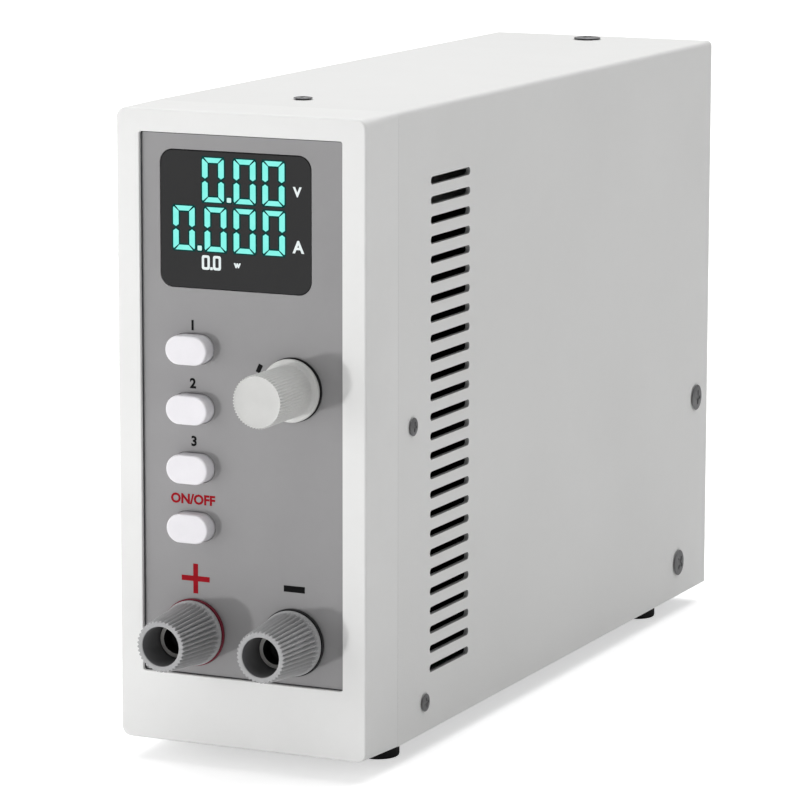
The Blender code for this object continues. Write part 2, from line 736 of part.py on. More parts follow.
def rotary_encoder(front, grey, steel, black):
    axis = (COLUMN_SPREAD, KNOB_HEIGHT, 0)
    steps = 3
    shaft_radius = SHAFT_DIAMETER / 2
    body = rounded_rectangle(ENCODER_SIZE, ENCODER_SIZE, SMALL_CORNER, steps)
    bush = matching_circle(BUSH_RADIUS, steps)
    bore = matching_circle(shaft_radius + CLEARANCE, steps)
    floor = BOARD_TOP + ENCODER_FLOOR
    encoder = stacks("encoder_body", [
        (body, BOARD_TOP),
        (body, BEHIND_PANEL),
        (bush, BEHIND_PANEL),
        (bush, BUSH_FRONT),
        (bore, BUSH_FRONT),
        (bore, floor),
    ])
    place("encoder_body", encoder, black, front, axis)

    nut_hole = circle(BUSH_RADIUS + CLEARANCE, COARSE)
    nut_side = hexagon(NUT_FLATS, COARSE)
    nut = stacks("encoder_nut", [
        (nut_side, NUT_BACK), (nut_side, NUT_FRONT), (nut_hole, NUT_FRONT), (nut_hole, NUT_BACK),
    ], ring=True)
    place("encoder_nut", nut, steel, front, axis)

    shaft_top = KNOB_REACH - KNOB_CROWN - CLEARANCE
    flat_start = BUSH_FRONT + CLEARANCE
    shaft_round = circle(shaft_radius, MEDIUM)
    shaft_flat = flat_sided_circle(shaft_radius, SHAFT_FLAT, MEDIUM)
    shaft = stacks("encoder_shaft", [
        (shaft_round, floor + CLEARANCE),
        (shaft_round, flat_start),
        (shaft_flat, flat_start),
        (shaft_flat, shaft_top),
    ])
    place("encoder_shaft", shaft, steel, front, axis)

    skirt = KNOB_SKIRT_DIAMETER / 2
    face = KNOB_FACE_DIAMETER / 2
    base = face + KNOB_TAPER
    skirt_top = KNOB_BACK + KNOB_SKIRT_THICKNESS
    knob = place("knob", turned("knob", [
        (skirt, KNOB_BACK),
        (skirt, skirt_top),
        ((base + skirt) / 2, skirt_top + KNOB_SKIRT_FILLET / 4),
        (base, skirt_top + KNOB_SKIRT_FILLET),
        (face, KNOB_REACH - KNOB_EDGE),
        (face - KNOB_EDGE, KNOB_REACH),
    ], FINE), grey, front, axis)
    nut_room = NUT_FLATS / 2 / cos(pi / 6) + CLEARANCE
    bush_room = BUSH_RADIUS + CLEARANCE
    step_one = NUT_FRONT + CLEARANCE
    step_two = BUSH_FRONT + CLEARANCE
    bore_radius = shaft_radius + CLEARANCE
    cut(knob, stacks("knob_bore", [
        (circle(nut_room, MEDIUM), KNOB_BACK - CUT_MARGIN),
        (circle(nut_room, MEDIUM), step_one),
        (circle(bush_room, MEDIUM), step_one),
        (circle(bush_room, MEDIUM), step_two),
        (flat_sided_circle(bore_radius, SHAFT_FLAT + CLEARANCE, MEDIUM), step_two),
        (flat_sided_circle(bore_radius, SHAFT_FLAT + CLEARANCE, MEDIUM), shaft_top + CLEARANCE),
    ]))


def binding_post(front, name, side, collar_colour, grey, nickel, brass):
    axis = (side * COLUMN_SPREAD, POST_HEIGHT, 0)
    stud = STUD_DIAMETER / 2
    hole = stud + CLEARANCE
    collar_radius = COLLAR_DIAMETER / 2
    boss = COLLAR_BOSS_DIAMETER / 2
    tube = CAP_BORE_DIAMETER / 2 - CLEARANCE
    cap_bore = CAP_BORE_DIAMETER / 2
    place(f"{name}_collar", turned("collar", [
        (collar_radius, COLLAR_BACK),
        (collar_radius, COLLAR_FRONT),
        (hole, COLLAR_FRONT),
        (hole, PANEL_BACK),
        (boss, PANEL_BACK),
        (boss, COLLAR_BACK),
    ], COLLAR_SIDES, ring=True), collar_colour, front, axis)

    post = place(f"{name}_stud", turned("stud", [
        (stud, STUD_BACK),
        (stud, CAP_BACK),
        (tube, CAP_BACK),
        (tube, STUD_FRONT),
        (SOCKET_BORE_DIAMETER / 2, STUD_FRONT),
        (SOCKET_BORE_DIAMETER / 2, STUD_FRONT - SOCKET_BORE_DEPTH),
        (CONTACT_BORE_DIAMETER / 2, STUD_FRONT - SOCKET_BORE_DEPTH),
        (CONTACT_BORE_DIAMETER / 2, STUD_FRONT - CONTACT_BORE_DEPTH),
    ], MEDIUM), nickel, front, axis)
    wire_height = CAP_BACK + (STUD_FRONT - SOCKET_BORE_DEPTH - CAP_BACK) / 2
    wire_hole = circle(WIRE_HOLE_DIAMETER / 2, SMALL, (-wire_height, 0))
    cut(post, prisms("wire_hole", [wire_hole], -boss, boss), ALONG_X)

    washer = cap_bore + WASHER_BORDER
    place(f"{name}_washer", turned("washer", [
        (washer, CAP_BACK),
        (washer, CAP_BACK + WASHER_THICKNESS),
        (cap_bore, CAP_BACK + WASHER_THICKNESS),
        (cap_bore, CAP_BACK),
    ], MEDIUM, ring=True), nickel, front, axis)

    count = CAP_RIBS * 3
    base = CAP_BASE_DIAMETER / 2
    mouth = CAP_MOUTH_DIAMETER / 2
    band = CAP_BACK + CAP_BAND
    cap = place(f"{name}_cap", stacks("cap", [
        (circle(base, count), CAP_BACK),
        (circle(base, count), band),
        (ribbed_circle(base - CLEARANCE, CAP_RIB_DEPTH, CAP_RIBS, 3), band + CAP_RIB_RUN),
        (ribbed_circle(mouth, CAP_RIB_DEPTH, CAP_RIBS, 3), CAP_MOUTH),
    ]), grey, front, axis)
    washer_room = washer + CLEARANCE
    seat = CAP_BACK + WASHER_THICKNESS + CLEARANCE
    cut(cap, turned("cap_bore", [
        (washer_room, CAP_BACK - CUT_MARGIN),
        (washer_room, seat),
        (cap_bore, seat),
        (cap_bore, CAP_MOUTH + CUT_MARGIN),
    ], PLAIN))

    nut_side = hexagon(NUT_FLATS, COARSE)
    nut_hole = circle(hole, COARSE)
    nut_end = BEHIND_PANEL - POST_NUT_THICKNESS
    place(f"{name}_nut", stacks("post_nut", [
        (nut_side, nut_end), (nut_side, BEHIND_PANEL), (nut_hole, BEHIND_PANEL), (nut_hole, nut_end),
    ], ring=True), brass, front, axis)


def smooth_route(points, samples):
    """Points on one Catmull-Rom curve through the given points."""
    ends = [2 * points[0] - points[1], *points, 2 * points[-1] - points[-2]]
    route = []
    for i in range(1, len(ends) - 2):
        a, b, c, d = ends[i - 1:i + 3]
        for k in range(samples):
            t = k / samples
            route.append(0.5 * (2 * b + (c - a) * t + (2 * a - 5 * b + 4 * c - d) * t * t
                                + (3 * b - a - 3 * c + d) * t * t * t))
    route.append(points[-1])
    return route


def input_lead(case, name, side, colour):
    start = Vector((side * COLUMN_SPREAD, -STUD_BACK + CLEARANCE, POST_HEIGHT))
    block_front = MAIN_BOARD_START + BLOCK_SETBACK
    entry = Vector((side * BLOCK_SPREAD, block_front, ON_MAIN_BOARD + BLOCK_HEIGHT / 2))
    straight = Vector((0, LEAD_APPROACH, 0))
    bend = smooth_route([start + straight, (start + entry) / 2, entry - straight], 4)
    route = [start, *bend, entry + Vector((0, LEAD_ENTRY, 0))]
    curve = bpy.data.curves.new(name, "CURVE")
    curve.dimensions = "3D"
    curve.bevel_depth = LEAD_DIAMETER / 2
    curve.bevel_resolution = 1
    curve.use_fill_caps = True
    spline = curve.splines.new("POLY")
    spline.points.add(len(route) - 1)
    for point, target in zip(spline.points, route):
        point.co = (*target, 1)
    place(name, curve, colour, case)


# Case


def side_holes(name, *places):
    """Cylinders across the whole case, for screws at (distance, height) places."""
    holes = [circle(SCREW_SHANK / 2 + CLEARANCE, SMALL, centre) for centre in places]
    return prisms(name, holes, -CASE_WIDTH, CASE_WIDTH)


def top_holes(name, *distances):
    holes = [circle(SCREW_SHANK / 2 + CLEARANCE, SMALL, (0, distance)) for distance in distances]
    return prisms(name, holes, CHASSIS_TOP - 2 * CHASSIS_SHEET, CASE_HEIGHT + CUT_MARGIN)


def cover(case, paint):
    outer = fold_path(CASE_WIDTH, CASE_HEIGHT, FOLD_RADIUS, 5)
    inner = fold_path(CASE_WIDTH - 2 * COVER_SHEET, CASE_HEIGHT - COVER_SHEET, FOLD_RADIUS - COVER_SHEET, 5)
    start = BEZEL_DEPTH + CLEARANCE
    shell = place("cover", folded_sheet("cover", outer, inner, start, CASE_DEPTH), paint, case)
    slots = []
    for row in range(SLOT_ROWS):
        centre = (SLOT_START + SLOT_LENGTH / 2, LOWEST_SLOT + row * SLOT_PITCH)
        slots.append(stadium(SLOT_LENGTH, SLOT_HEIGHT, 3, centre))
    cut(shell, prisms("vent_slots", slots, -CASE_WIDTH, CASE_WIDTH), FACING_RIGHT)
    places = (FRONT_MID_SCREW, FRONT_LOW_SCREW, REAR_MID_SCREW, REAR_LOW_SCREW)
    cut(shell, side_holes("side_screw_holes", *places), FACING_RIGHT)
    cut(shell, top_holes("top_screw_holes", FRONT_TOP_SCREW, REAR_TOP_SCREW))


def foot_places():
    return [(side * FOOT_SPREAD, distance) for distance in (FOOT_END_DISTANCE, CASE_DEPTH - FOOT_END_DISTANCE)
            for side in (-1, 1)]


def standoff_places():
    distances = (MAIN_BOARD_START + STANDOFF_END_MARGIN, MAIN_BOARD_END - STANDOFF_END_MARGIN)
    return [(side * STANDOFF_SPREAD, distance) for side in (1, -1) for distance in distances]


def chassis_tray(case, zinc):
    inner_radius = FOLD_RADIUS - CHASSIS_SHEET
    outer = fold_path(CHASSIS_WIDTH, TRAY_FLANGE, FOLD_RADIUS, 4)
    inner = fold_path(CHASSIS_WIDTH - 2 * CHASSIS_SHEET, TRAY_FLANGE - CHASSIS_SHEET, inner_radius, 4)
    upright = [[(x, TRAY_FLANGE - z) for x, z in path] for path in (outer, inner)]
    tray = place("chassis_tray", folded_sheet("chassis_tray", *upright, TRAY_START, TRAY_END), zinc, case)
    cut(tray, side_holes("tray_screw_holes", FRONT_LOW_SCREW, REAR_LOW_SCREW), FACING_RIGHT)
    holes = [circle(FOOT_STEM_DIAMETER / 2 + CLEARANCE, SMALL, centre) for centre in foot_places()]
    cut(tray, prisms("foot_holes", holes, -CUT_MARGIN, CHASSIS_SHEET + CUT_MARGIN))
    studs = [circle(STANDOFF_DIAMETER / 2, SMALL, centre) for centre in standoff_places()]
    join(tray, prisms("standoffs", studs, CHASSIS_SHEET - JOIN_DEPTH, MAIN_BOARD_HEIGHT - CLEARANCE))


def front_bracket(case, zinc):
    back = BRACKET_FRONT + CHASSIS_SHEET
    half = CHASSIS_WIDTH / 2
    plate = place("front_bracket", prisms("front_bracket", [rectangle(-half, 0, half, CHASSIS_TOP)],
                                          -back, -BRACKET_FRONT), zinc, case, rotation=FACING_FRONT)
    rim = half - BRACKET_RIM
    bar_low = BRACKET_BAR_HEIGHT - BRACKET_BAR / 2
    bar_high = BRACKET_BAR_HEIGHT + BRACKET_BAR / 2
    boss_top = BOSS_HEIGHT + BOSS_DIAMETER
    windows = [
        rectangle(-rim, boss_top, rim, bar_low),
        rectangle(-rim, bar_high, rim, CHASSIS_TOP - BRACKET_RIM),
        circle(BOSS_BORE / 2 + CLEARANCE, SMALL, (BOSS_SPREAD, BOSS_HEIGHT)),
        circle(BOSS_BORE / 2 + CLEARANCE, SMALL, (-BOSS_SPREAD, BOSS_HEIGHT)),
    ]
    cut(plate, prisms("bracket_windows", windows, -back - CUT_MARGIN, CUT_MARGIN - BRACKET_FRONT))
    middle = FRONT_MID_SCREW[1]
    tab_start = -back + JOIN_DEPTH
    top_width, top_length = BRACKET_TOP_TAB
    foot_half = FOOT_SPREAD - BRACKET_FOOT_TAB_INSET
    low = middle - BRACKET_TAB_HEIGHT / 2
    high = middle + BRACKET_TAB_HEIGHT / 2
    floor = CHASSIS_SHEET + CLEARANCE
    edge = half - CHASSIS_SHEET
    tabs = [
        (rectangle(edge, low, half, high), BRACKET_TAB_LENGTH),
        (rectangle(-half, low, -edge, high), BRACKET_TAB_LENGTH),
        (rectangle(-top_width / 2, CHASSIS_TOP - CHASSIS_SHEET, top_width / 2, CHASSIS_TOP), top_length),
        (rectangle(-foot_half, floor, foot_half, floor + CHASSIS_SHEET), BRACKET_FOOT_TAB_LENGTH),
    ]
    join(plate, stacks("bracket_tabs", *[[(tab, -back - length), (tab, tab_start)] for tab, length in tabs]))
    cut(plate, side_holes("bracket_side_holes", FRONT_MID_SCREW), FACING_RIGHT)
    cut(plate, top_holes("bracket_top_hole", FRONT_TOP_SCREW), FACING_UP)


def grille_slots():
    centre = (0, FAN_HEIGHT)
    slots = []
    for ring in range(GRILLE_RINGS):
        outer = FAN_DUCT_DIAMETER / 2 - ring * GRILLE_PITCH
        middle = outer - GRILLE_SLOT / 2
        margin = GRILLE_SPOKE / 2 / middle
        for spoke in range(GRILLE_SPOKES):
            start = (spoke + 0.5) * 2 * pi / GRILLE_SPOKES
            slots.append(arc_band(outer - GRILLE_SLOT, outer, start + margin,
                                  start + 2 * pi / GRILLE_SPOKES - margin, 4, centre))
    return slots


def fan_hole_places():
    half = FAN_HOLE_PITCH / 2
    return [(x * half, y * half) for x in (1, -1) for y in (1, -1)]


def rear_panel(rear, zinc):
    half = CHASSIS_WIDTH / 2
    blank = prisms("rear_panel", [rectangle(-half, 0, half, CHASSIS_TOP)], -CHASSIS_SHEET, 0)
    plate = place("rear_panel", blank, zinc, rear)
    fit = 2 * CLEARANCE
    openings = grille_slots()
    openings += [circle(FAN_HOLE_DIAMETER / 2, SMALL, (x, FAN_HEIGHT + y)) for x, y in fan_hole_places()]
    for (width, length, _), height in ((INLET_BODY, INLET_HEIGHT), (SWITCH_BODY, SWITCH_HEIGHT)):
        openings.append(rounded_rectangle(width + fit, length + fit, SHEET_CORNER, 2, (0, height)))
    cut(plate, prisms("rear_openings", openings, -CHASSIS_SHEET - CUT_MARGIN, CUT_MARGIN))
    start = JOIN_DEPTH - CHASSIS_SHEET
    low = TRAY_FLANGE + 2 * CHASSIS_SHEET
    high = CHASSIS_TOP - 2 * CHASSIS_SHEET
    edge = half - CHASSIS_SHEET
    top_width, top_length = REAR_TOP_FLANGE
    flanges = [
        (rectangle(edge, low, half, high), REAR_FLANGE),
        (rectangle(-half, low, -edge, high), REAR_FLANGE),
        (rectangle(-top_width / 2, CHASSIS_TOP - CHASSIS_SHEET, top_width / 2, CHASSIS_TOP), top_length),
    ]
    ends = [[(flange, -CHASSIS_SHEET - length), (flange, start)] for flange, length in flanges]
    join(plate, stacks("rear_flanges", *ends))
    distance, height = REAR_MID_SCREW
    cut(plate, side_holes("rear_side_holes", (CASE_DEPTH - distance, height)), ALONG_X)
    cut(plate, top_holes("rear_top_hole", CASE_DEPTH - REAR_TOP_SCREW), ALONG_Y)


def feet(case, rubber):
    foot = FOOT_DIAMETER / 2
    stem = FOOT_STEM_DIAMETER / 2
    barb_start = CHASSIS_SHEET + CLEARANCE
    mesh = turned("foot", [
        (foot - FOOT_EDGE, -FOOT_HEIGHT),
        (foot, FOOT_EDGE - FOOT_HEIGHT),
        (foot, -CLEARANCE),
        (stem, -CLEARANCE),
        (stem, barb_start),
        (stem + FOOT_BARB, barb_start),
        (stem - FOOT_BARB, barb_start + FOOT_BARB_LENGTH),
    ], MEDIUM)
    names = ("front_left_foot", "front_right_foot", "rear_left_foot", "rear_right_foot")
    for name, (x, y) in zip(names, foot_places()):
        place(name, mesh, rubber, case, (x, y, 0))


def screw_mesh(name, head, height):
    shank = SCREW_SHANK / 2
    return turned(name, [
        (shank, -SCREW_LENGTH),
        (shank, CLEARANCE),
        (head / 2, CLEARANCE),
        (head / 2, CLEARANCE + HEAD_RIM * height),
        (HEAD_TOP * head / 2, CLEARANCE + height),
    ], SCREW_SIDES)


def cover_screws(case, blackened):
    half = CASE_WIDTH / 2
    small = screw_mesh("small_screw", SMALL_HEAD, SMALL_HEAD_HEIGHT)
    large = screw_mesh("large_screw", LARGE_HEAD, LARGE_HEAD_HEIGHT)
    screws = []
    side_screws = [
        ("front_mid", small, FRONT_MID_SCREW),
        ("front_low", small, FRONT_LOW_SCREW),
        ("rear_mid", large, REAR_MID_SCREW),
        ("rear_low", large, REAR_LOW_SCREW),
    ]
    for side, x, rotation in (("right", half, FACING_RIGHT), ("left", -half, FACING_LEFT)):
        for where, mesh, (y, z) in side_screws:
            screws.append((f"{side}_{where}_screw", mesh, (x, y, z), rotation))
    screws.append(("top_front_screw", small, (0, FRONT_TOP_SCREW, CASE_HEIGHT), FACING_UP))
    screws.append(("top_rear_screw", large, (0, REAR_TOP_SCREW, CASE_HEIGHT), FACING_UP))
    for name, mesh, location, rotation in screws:
        place(name, mesh, blackened, case, location, rotation)


# Fan


def fan(rear, black):
    axis = (0, FAN_HEIGHT, 0)
    steps = 5
    outer_face = -CHASSIS_SHEET - CLEARANCE
    inner_face = outer_face - FAN_THICKNESS
    square = rounded_rectangle(FAN_SIZE, FAN_SIZE, FAN_CORNER, steps)
    duct = matching_circle(FAN_DUCT_DIAMETER / 2, steps)
    body = place("fan_frame", stacks("fan_frame", [
        (square, outer_face), (square, inner_face), (duct, inner_face), (duct, outer_face),
    ], ring=True), black, rear, axis)
    plate_top = inner_face + HUB_PLATE
    strut_reach = FAN_DUCT_DIAMETER / 2 + JOIN_DEPTH
    join(body, prisms("struts", [plus(strut_reach, STRUT_WIDTH)], inner_face + EDGE, plate_top - EDGE))
    join(body, prisms("hub_plate", [circle(HUB_DIAMETER / 2, PLAIN)], inner_face + EDGE / 2, plate_top))
    shaft = ROTOR_SHAFT_DIAMETER / 2
    bearing = circle(shaft + CLEARANCE, COARSE)
    bore_floor = inner_face + HUB_FLOOR
    cut(body, prisms("bearing_bore", [bearing], bore_floor, plate_top + CUT_MARGIN))
    mounts = [circle(FAN_HOLE_DIAMETER / 2, SMALL, centre) for centre in fan_hole_places()]
    cut(body, prisms("fan_mount_holes", mounts, inner_face - CUT_MARGIN, outer_face + CUT_MARGIN))

    hub = HUB_DIAMETER / 2
    low = plate_top + ROTOR_GAP
    high = outer_face - ROTOR_FRONT_GAP
    rotor = place("fan_rotor", turned("fan_rotor", [
        (shaft, bore_floor + CLEARANCE),
        (shaft, low),
        (hub, low),
        (hub, high - HUB_EDGE),
        (hub - HUB_EDGE, high),
    ], PLAIN), black, rear, axis)
    shape = bmesh.new()
    for number in range(BLADE_COUNT):
        turn = 2 * pi * number / BLADE_COUNT
        sections = [
            (hub - JOIN_DEPTH, BLADE_ROOT_SWEEP),
            ((hub + ROTOR_DIAMETER / 2) / 2, (BLADE_ROOT_SWEEP + BLADE_TIP_SWEEP) / 2),
            (ROTOR_DIAMETER / 2, BLADE_TIP_SWEEP),
        ]
        loft(shape, [blade_section(*section, turn, low + HUB_EDGE, high - HUB_EDGE) for section in sections])
    join(rotor, mesh_of("blades", shape))


def blade_section(radius, sweep, turn, low, high):
    """One closed section of a fan blade: points on a cylinder, up one side and down the other."""
    half = BLADE_THICKNESS / 2
    points = []
    for side, shares in ((1, (0.0, 0.5, 1.0)), (-1, (1.0, 0.5, 0.0))):
        for share in shares:
            along = sweep * (share - 0.5 + BLADE_CAMBER * sin(pi * share))
            thick = half * (BLADE_TIP_SHARE + BLADE_BULGE * sin(pi * share))
            angle = turn + (along + side * thick) / radius
            points.append((radius * cos(angle), radius * sin(angle), low + share * (high - low)))
    return points


# Rear fittings


def power_inlet(rear, black):
    axis = (0, INLET_HEIGHT, 0)
    width, height, thickness = INLET_FLANGE
    steps = 3
    flange = rounded_rectangle(width, height, INLET_CORNER, steps)
    rim = rounded_rectangle(width - 2 * EDGE, height - 2 * EDGE, INLET_CORNER - EDGE, steps)
    body = rounded_rectangle(INLET_BODY[0], INLET_BODY[1], SMALL_CORNER, steps)
    inlet = place("power_inlet", stacks("power_inlet", [
        (body, -INLET_BODY[2]),
        (body, CLEARANCE),
        (flange, CLEARANCE),
        (flange, CLEARANCE + thickness - EDGE),
        (rim, CLEARANCE + thickness),
    ]), black, rear, axis)
    half_x, half_y = INLET_CAVITY[0] / 2, INLET_CAVITY[1] / 2
    shaped = [(half_x, -half_y), (half_x, half_y - INLET_CHAMFER), (half_x - INLET_CHAMFER, half_y),
              (INLET_CHAMFER - half_x, half_y), (-half_x, half_y - INLET_CHAMFER), (-half_x, -half_y)]
    mouth = CLEARANCE + thickness
    floor = mouth - INLET_CAVITY[2]
    cut(inlet, prisms("inlet_cavity", [shaped], floor, mouth + CUT_MARGIN))
    pins = []
    for x, y in ((-PIN_SPREAD, -PIN_DROP / 2), (0, PIN_DROP), (PIN_SPREAD, -PIN_DROP / 2)):
        pins.append(rectangle(x - PIN_WIDTH / 2, y - PIN_HEIGHT / 2, x + PIN_WIDTH / 2, y + PIN_HEIGHT / 2))
    join(inlet, prisms("inlet_pins", pins, floor - JOIN_DEPTH, floor + PIN_LENGTH))


def power_switch(rear, black):
    axis = (0, SWITCH_HEIGHT, 0)
    steps = 3
    width, height, thickness = SWITCH_FLANGE
    flange = rounded_rectangle(width, height, SHEET_CORNER, steps)
    rim = rounded_rectangle(width - 2 * EDGE, height - 2 * EDGE, SMALL_CORNER, steps)
    body = rounded_rectangle(SWITCH_BODY[0], SWITCH_BODY[1], SMALL_CORNER, steps)
    room = (ROCKER_WIDTH + 2 * CLEARANCE, ROCKER_LENGTH + ROCKER_ROOM)
    cavity = rounded_rectangle(*room, EDGE, steps)
    top = CLEARANCE + thickness
    place("switch_housing", stacks("switch_housing", [
        (body, -SWITCH_BODY[2]),
        (body, CLEARANCE),
        (flange, CLEARANCE),
        (flange, top - EDGE),
        (rim, top),
        (cavity, top),
        (cavity, top - SWITCH_CAVITY_DEPTH),
    ]), black, rear, axis)
    half = ROCKER_LENGTH / 2
    side = half - EDGE
    profile = [(-half, ROCKER_RISE), (-side, -EDGE), (-half / 2, -ROCKER_KEEL),
               (half / 2, -ROCKER_KEEL), (side, -EDGE), (half, ROCKER_RISE), (0, ROCKER_VALLEY)]
    shape = bmesh.new()
    loft(shape, [[(x, y, z) for y, z in profile] for x in (-ROCKER_WIDTH / 2, ROCKER_WIDTH / 2)])
    place("rocker", mesh_of("rocker", shape), black, rear,
          (0, SWITCH_HEIGHT, ROCKER_PIVOT), (ROCKER_ANGLE, 0, 0))


# Inside


def main_circuit_board(case, green, black):
    half = MAIN_BOARD_WIDTH / 2
    outline = [rectangle(-half, MAIN_BOARD_START, half, MAIN_BOARD_END)]
    blank = prisms("main_circuit_board", outline, MAIN_BOARD_HEIGHT, MAIN_BOARD_TOP)
    board = place("main_circuit_board", blank, green, case)
    holes = [circle(BOARD_HOLE / 2, SMALL, centre) for centre in standoff_places()]
    cut(board, prisms("main_board_holes", holes, MAIN_BOARD_HEIGHT - CUT_MARGIN, MAIN_BOARD_TOP + CUT_MARGIN))

    block_front = MAIN_BOARD_START + BLOCK_SETBACK
    block_top = ON_MAIN_BOARD + BLOCK_HEIGHT
    sides = rectangle(-BLOCK_WIDTH / 2, ON_MAIN_BOARD, BLOCK_WIDTH / 2, block_top)
    blank = prisms("input_terminal_block", [sides], -block_front - BLOCK_LENGTH, -block_front)
    block = place("input_terminal_block", blank, black, case, rotation=FACING_FRONT)
    height = ON_MAIN_BOARD + BLOCK_HEIGHT / 2
    hole = LEAD_DIAMETER / 2 + CLEARANCE
    entries = [circle(hole, COARSE, (side * BLOCK_SPREAD, height)) for side in (1, -1)]
    cut(block, prisms("lead_entries", entries, -block_front - BLOCK_HOLE_DEPTH, CUT_MARGIN - block_front))


def heatsink(case, aluminium):
    """A comb-shaped extrusion: an upright base plate with fins towards the right side."""
    left = SINK_BASE_X
    root = left + SINK_BASE
    tip = CASE_WIDTH / 2 - SINK_SIDE_DISTANCE
    height = SINK_TOP - ON_MAIN_BOARD
    pitch = (height - SINK_FIN) / (SINK_FINS - 1)
    comb = [(left, ON_MAIN_BOARD)]
    for number in range(SINK_FINS):
        low = ON_MAIN_BOARD + number * pitch
        comb += [(tip, low), (tip, low + SINK_FIN)]
        if number < SINK_FINS - 1:
            comb += [(root, low + SINK_FIN), (root, low + pitch)]
    comb.append((left, SINK_TOP))
    extrusion = prisms("heatsink", [comb], -SINK_END, -SINK_START)
    place("heatsink", extrusion, aluminium, case, rotation=FACING_FRONT)


def power_transistors(case, black):
    width, height, thickness = TRANSISTOR_SIZE
    leg_width, leg_depth, leg_length = TRANSISTOR_LEG
    bottom = ON_MAIN_BOARD + leg_length
    face = SINK_BASE_X - CLEARANCE
    middle = face - thickness / 2
    for number, start in enumerate(TRANSISTOR_STARTS, 1):
        outline = [rectangle(start, bottom, start + width, bottom + height)]
        body = prisms("power_transistor", outline, face - thickness, face)
        transistor = place(f"power_transistor_{number}", body, black, case, rotation=FACING_RIGHT)
        hole = circle(TRANSISTOR_HOLE / 2, SMALL, (start + width / 2, bottom + height - TRANSISTOR_HOLE_DROP))
        cut(transistor, prisms("tab_hole", [hole], face - thickness - CUT_MARGIN, face + CUT_MARGIN))
        legs = []
        for place_of in (-1, 0, 1):
            x = start + width / 2 + place_of * TRANSISTOR_LEG_PITCH
            legs.append(rectangle(x - leg_width / 2, ON_MAIN_BOARD, x + leg_width / 2, bottom + JOIN_DEPTH))
        join(transistor, prisms("legs", legs, middle - leg_depth / 2, middle + leg_depth / 2))


def capacitor(case, sleeve):
    radius = CAPACITOR_DIAMETER / 2
    mesh = turned("reservoir_capacitor", [
        (radius, 0),
        (radius, CAPACITOR_GROOVE_HEIGHT - CAPACITOR_GROOVE),
        (radius - CAPACITOR_GROOVE, CAPACITOR_GROOVE_HEIGHT),
        (radius, CAPACITOR_GROOVE_HEIGHT + CAPACITOR_GROOVE),
        (radius, CAPACITOR_HEIGHT - CAPACITOR_GROOVE),
        (radius - CAPACITOR_GROOVE, CAPACITOR_HEIGHT),
    ], PLAIN)
    place("reservoir_capacitor", mesh, sleeve, case, (*CAPACITOR_PLACE, ON_MAIN_BOARD))


def transformer(case, iron, tape):
    width, height, depth = CORE_SIZE
    window_width, window_height = CORE_WINDOW
    x, y = TRANSFORMER_PLACE
    middle = ON_MAIN_BOARD + height / 2
    location = (x, y, middle)
    outline = rectangle(-width / 2, -height / 2, width / 2, height / 2)
    blank = prisms("transformer_core", [outline], -depth / 2, depth / 2)
    core = place("transformer_core", blank, iron, case, location, FACING_FRONT)
    leg = CORE_LEG / 2
    windows = [rectangle(leg, -window_height / 2, leg + window_width, window_height / 2),
               rectangle(-leg - window_width, -window_height / 2, -leg, window_height / 2)]
    cut(core, prisms("core_windows", windows, -depth / 2 - CUT_MARGIN, depth / 2 + CUT_MARGIN))
    build = window_width - 2 * CLEARANCE
    inner_size = (CORE_LEG + 2 * CLEARANCE, depth + 2 * CLEARANCE)
    outer_size = [length + 2 * build for length in inner_size]
    inner = rounded_rectangle(*inner_size, CLEARANCE, 2)
    outer = rounded_rectangle(*outer_size, build / 2, 2)
    reach = window_height / 2 - CLEARANCE
    place("transformer_winding", stacks("transformer_winding", [
        (outer, -reach), (outer, reach), (inner, reach), (inner, -reach),
    ], ring=True), tape, case, location)


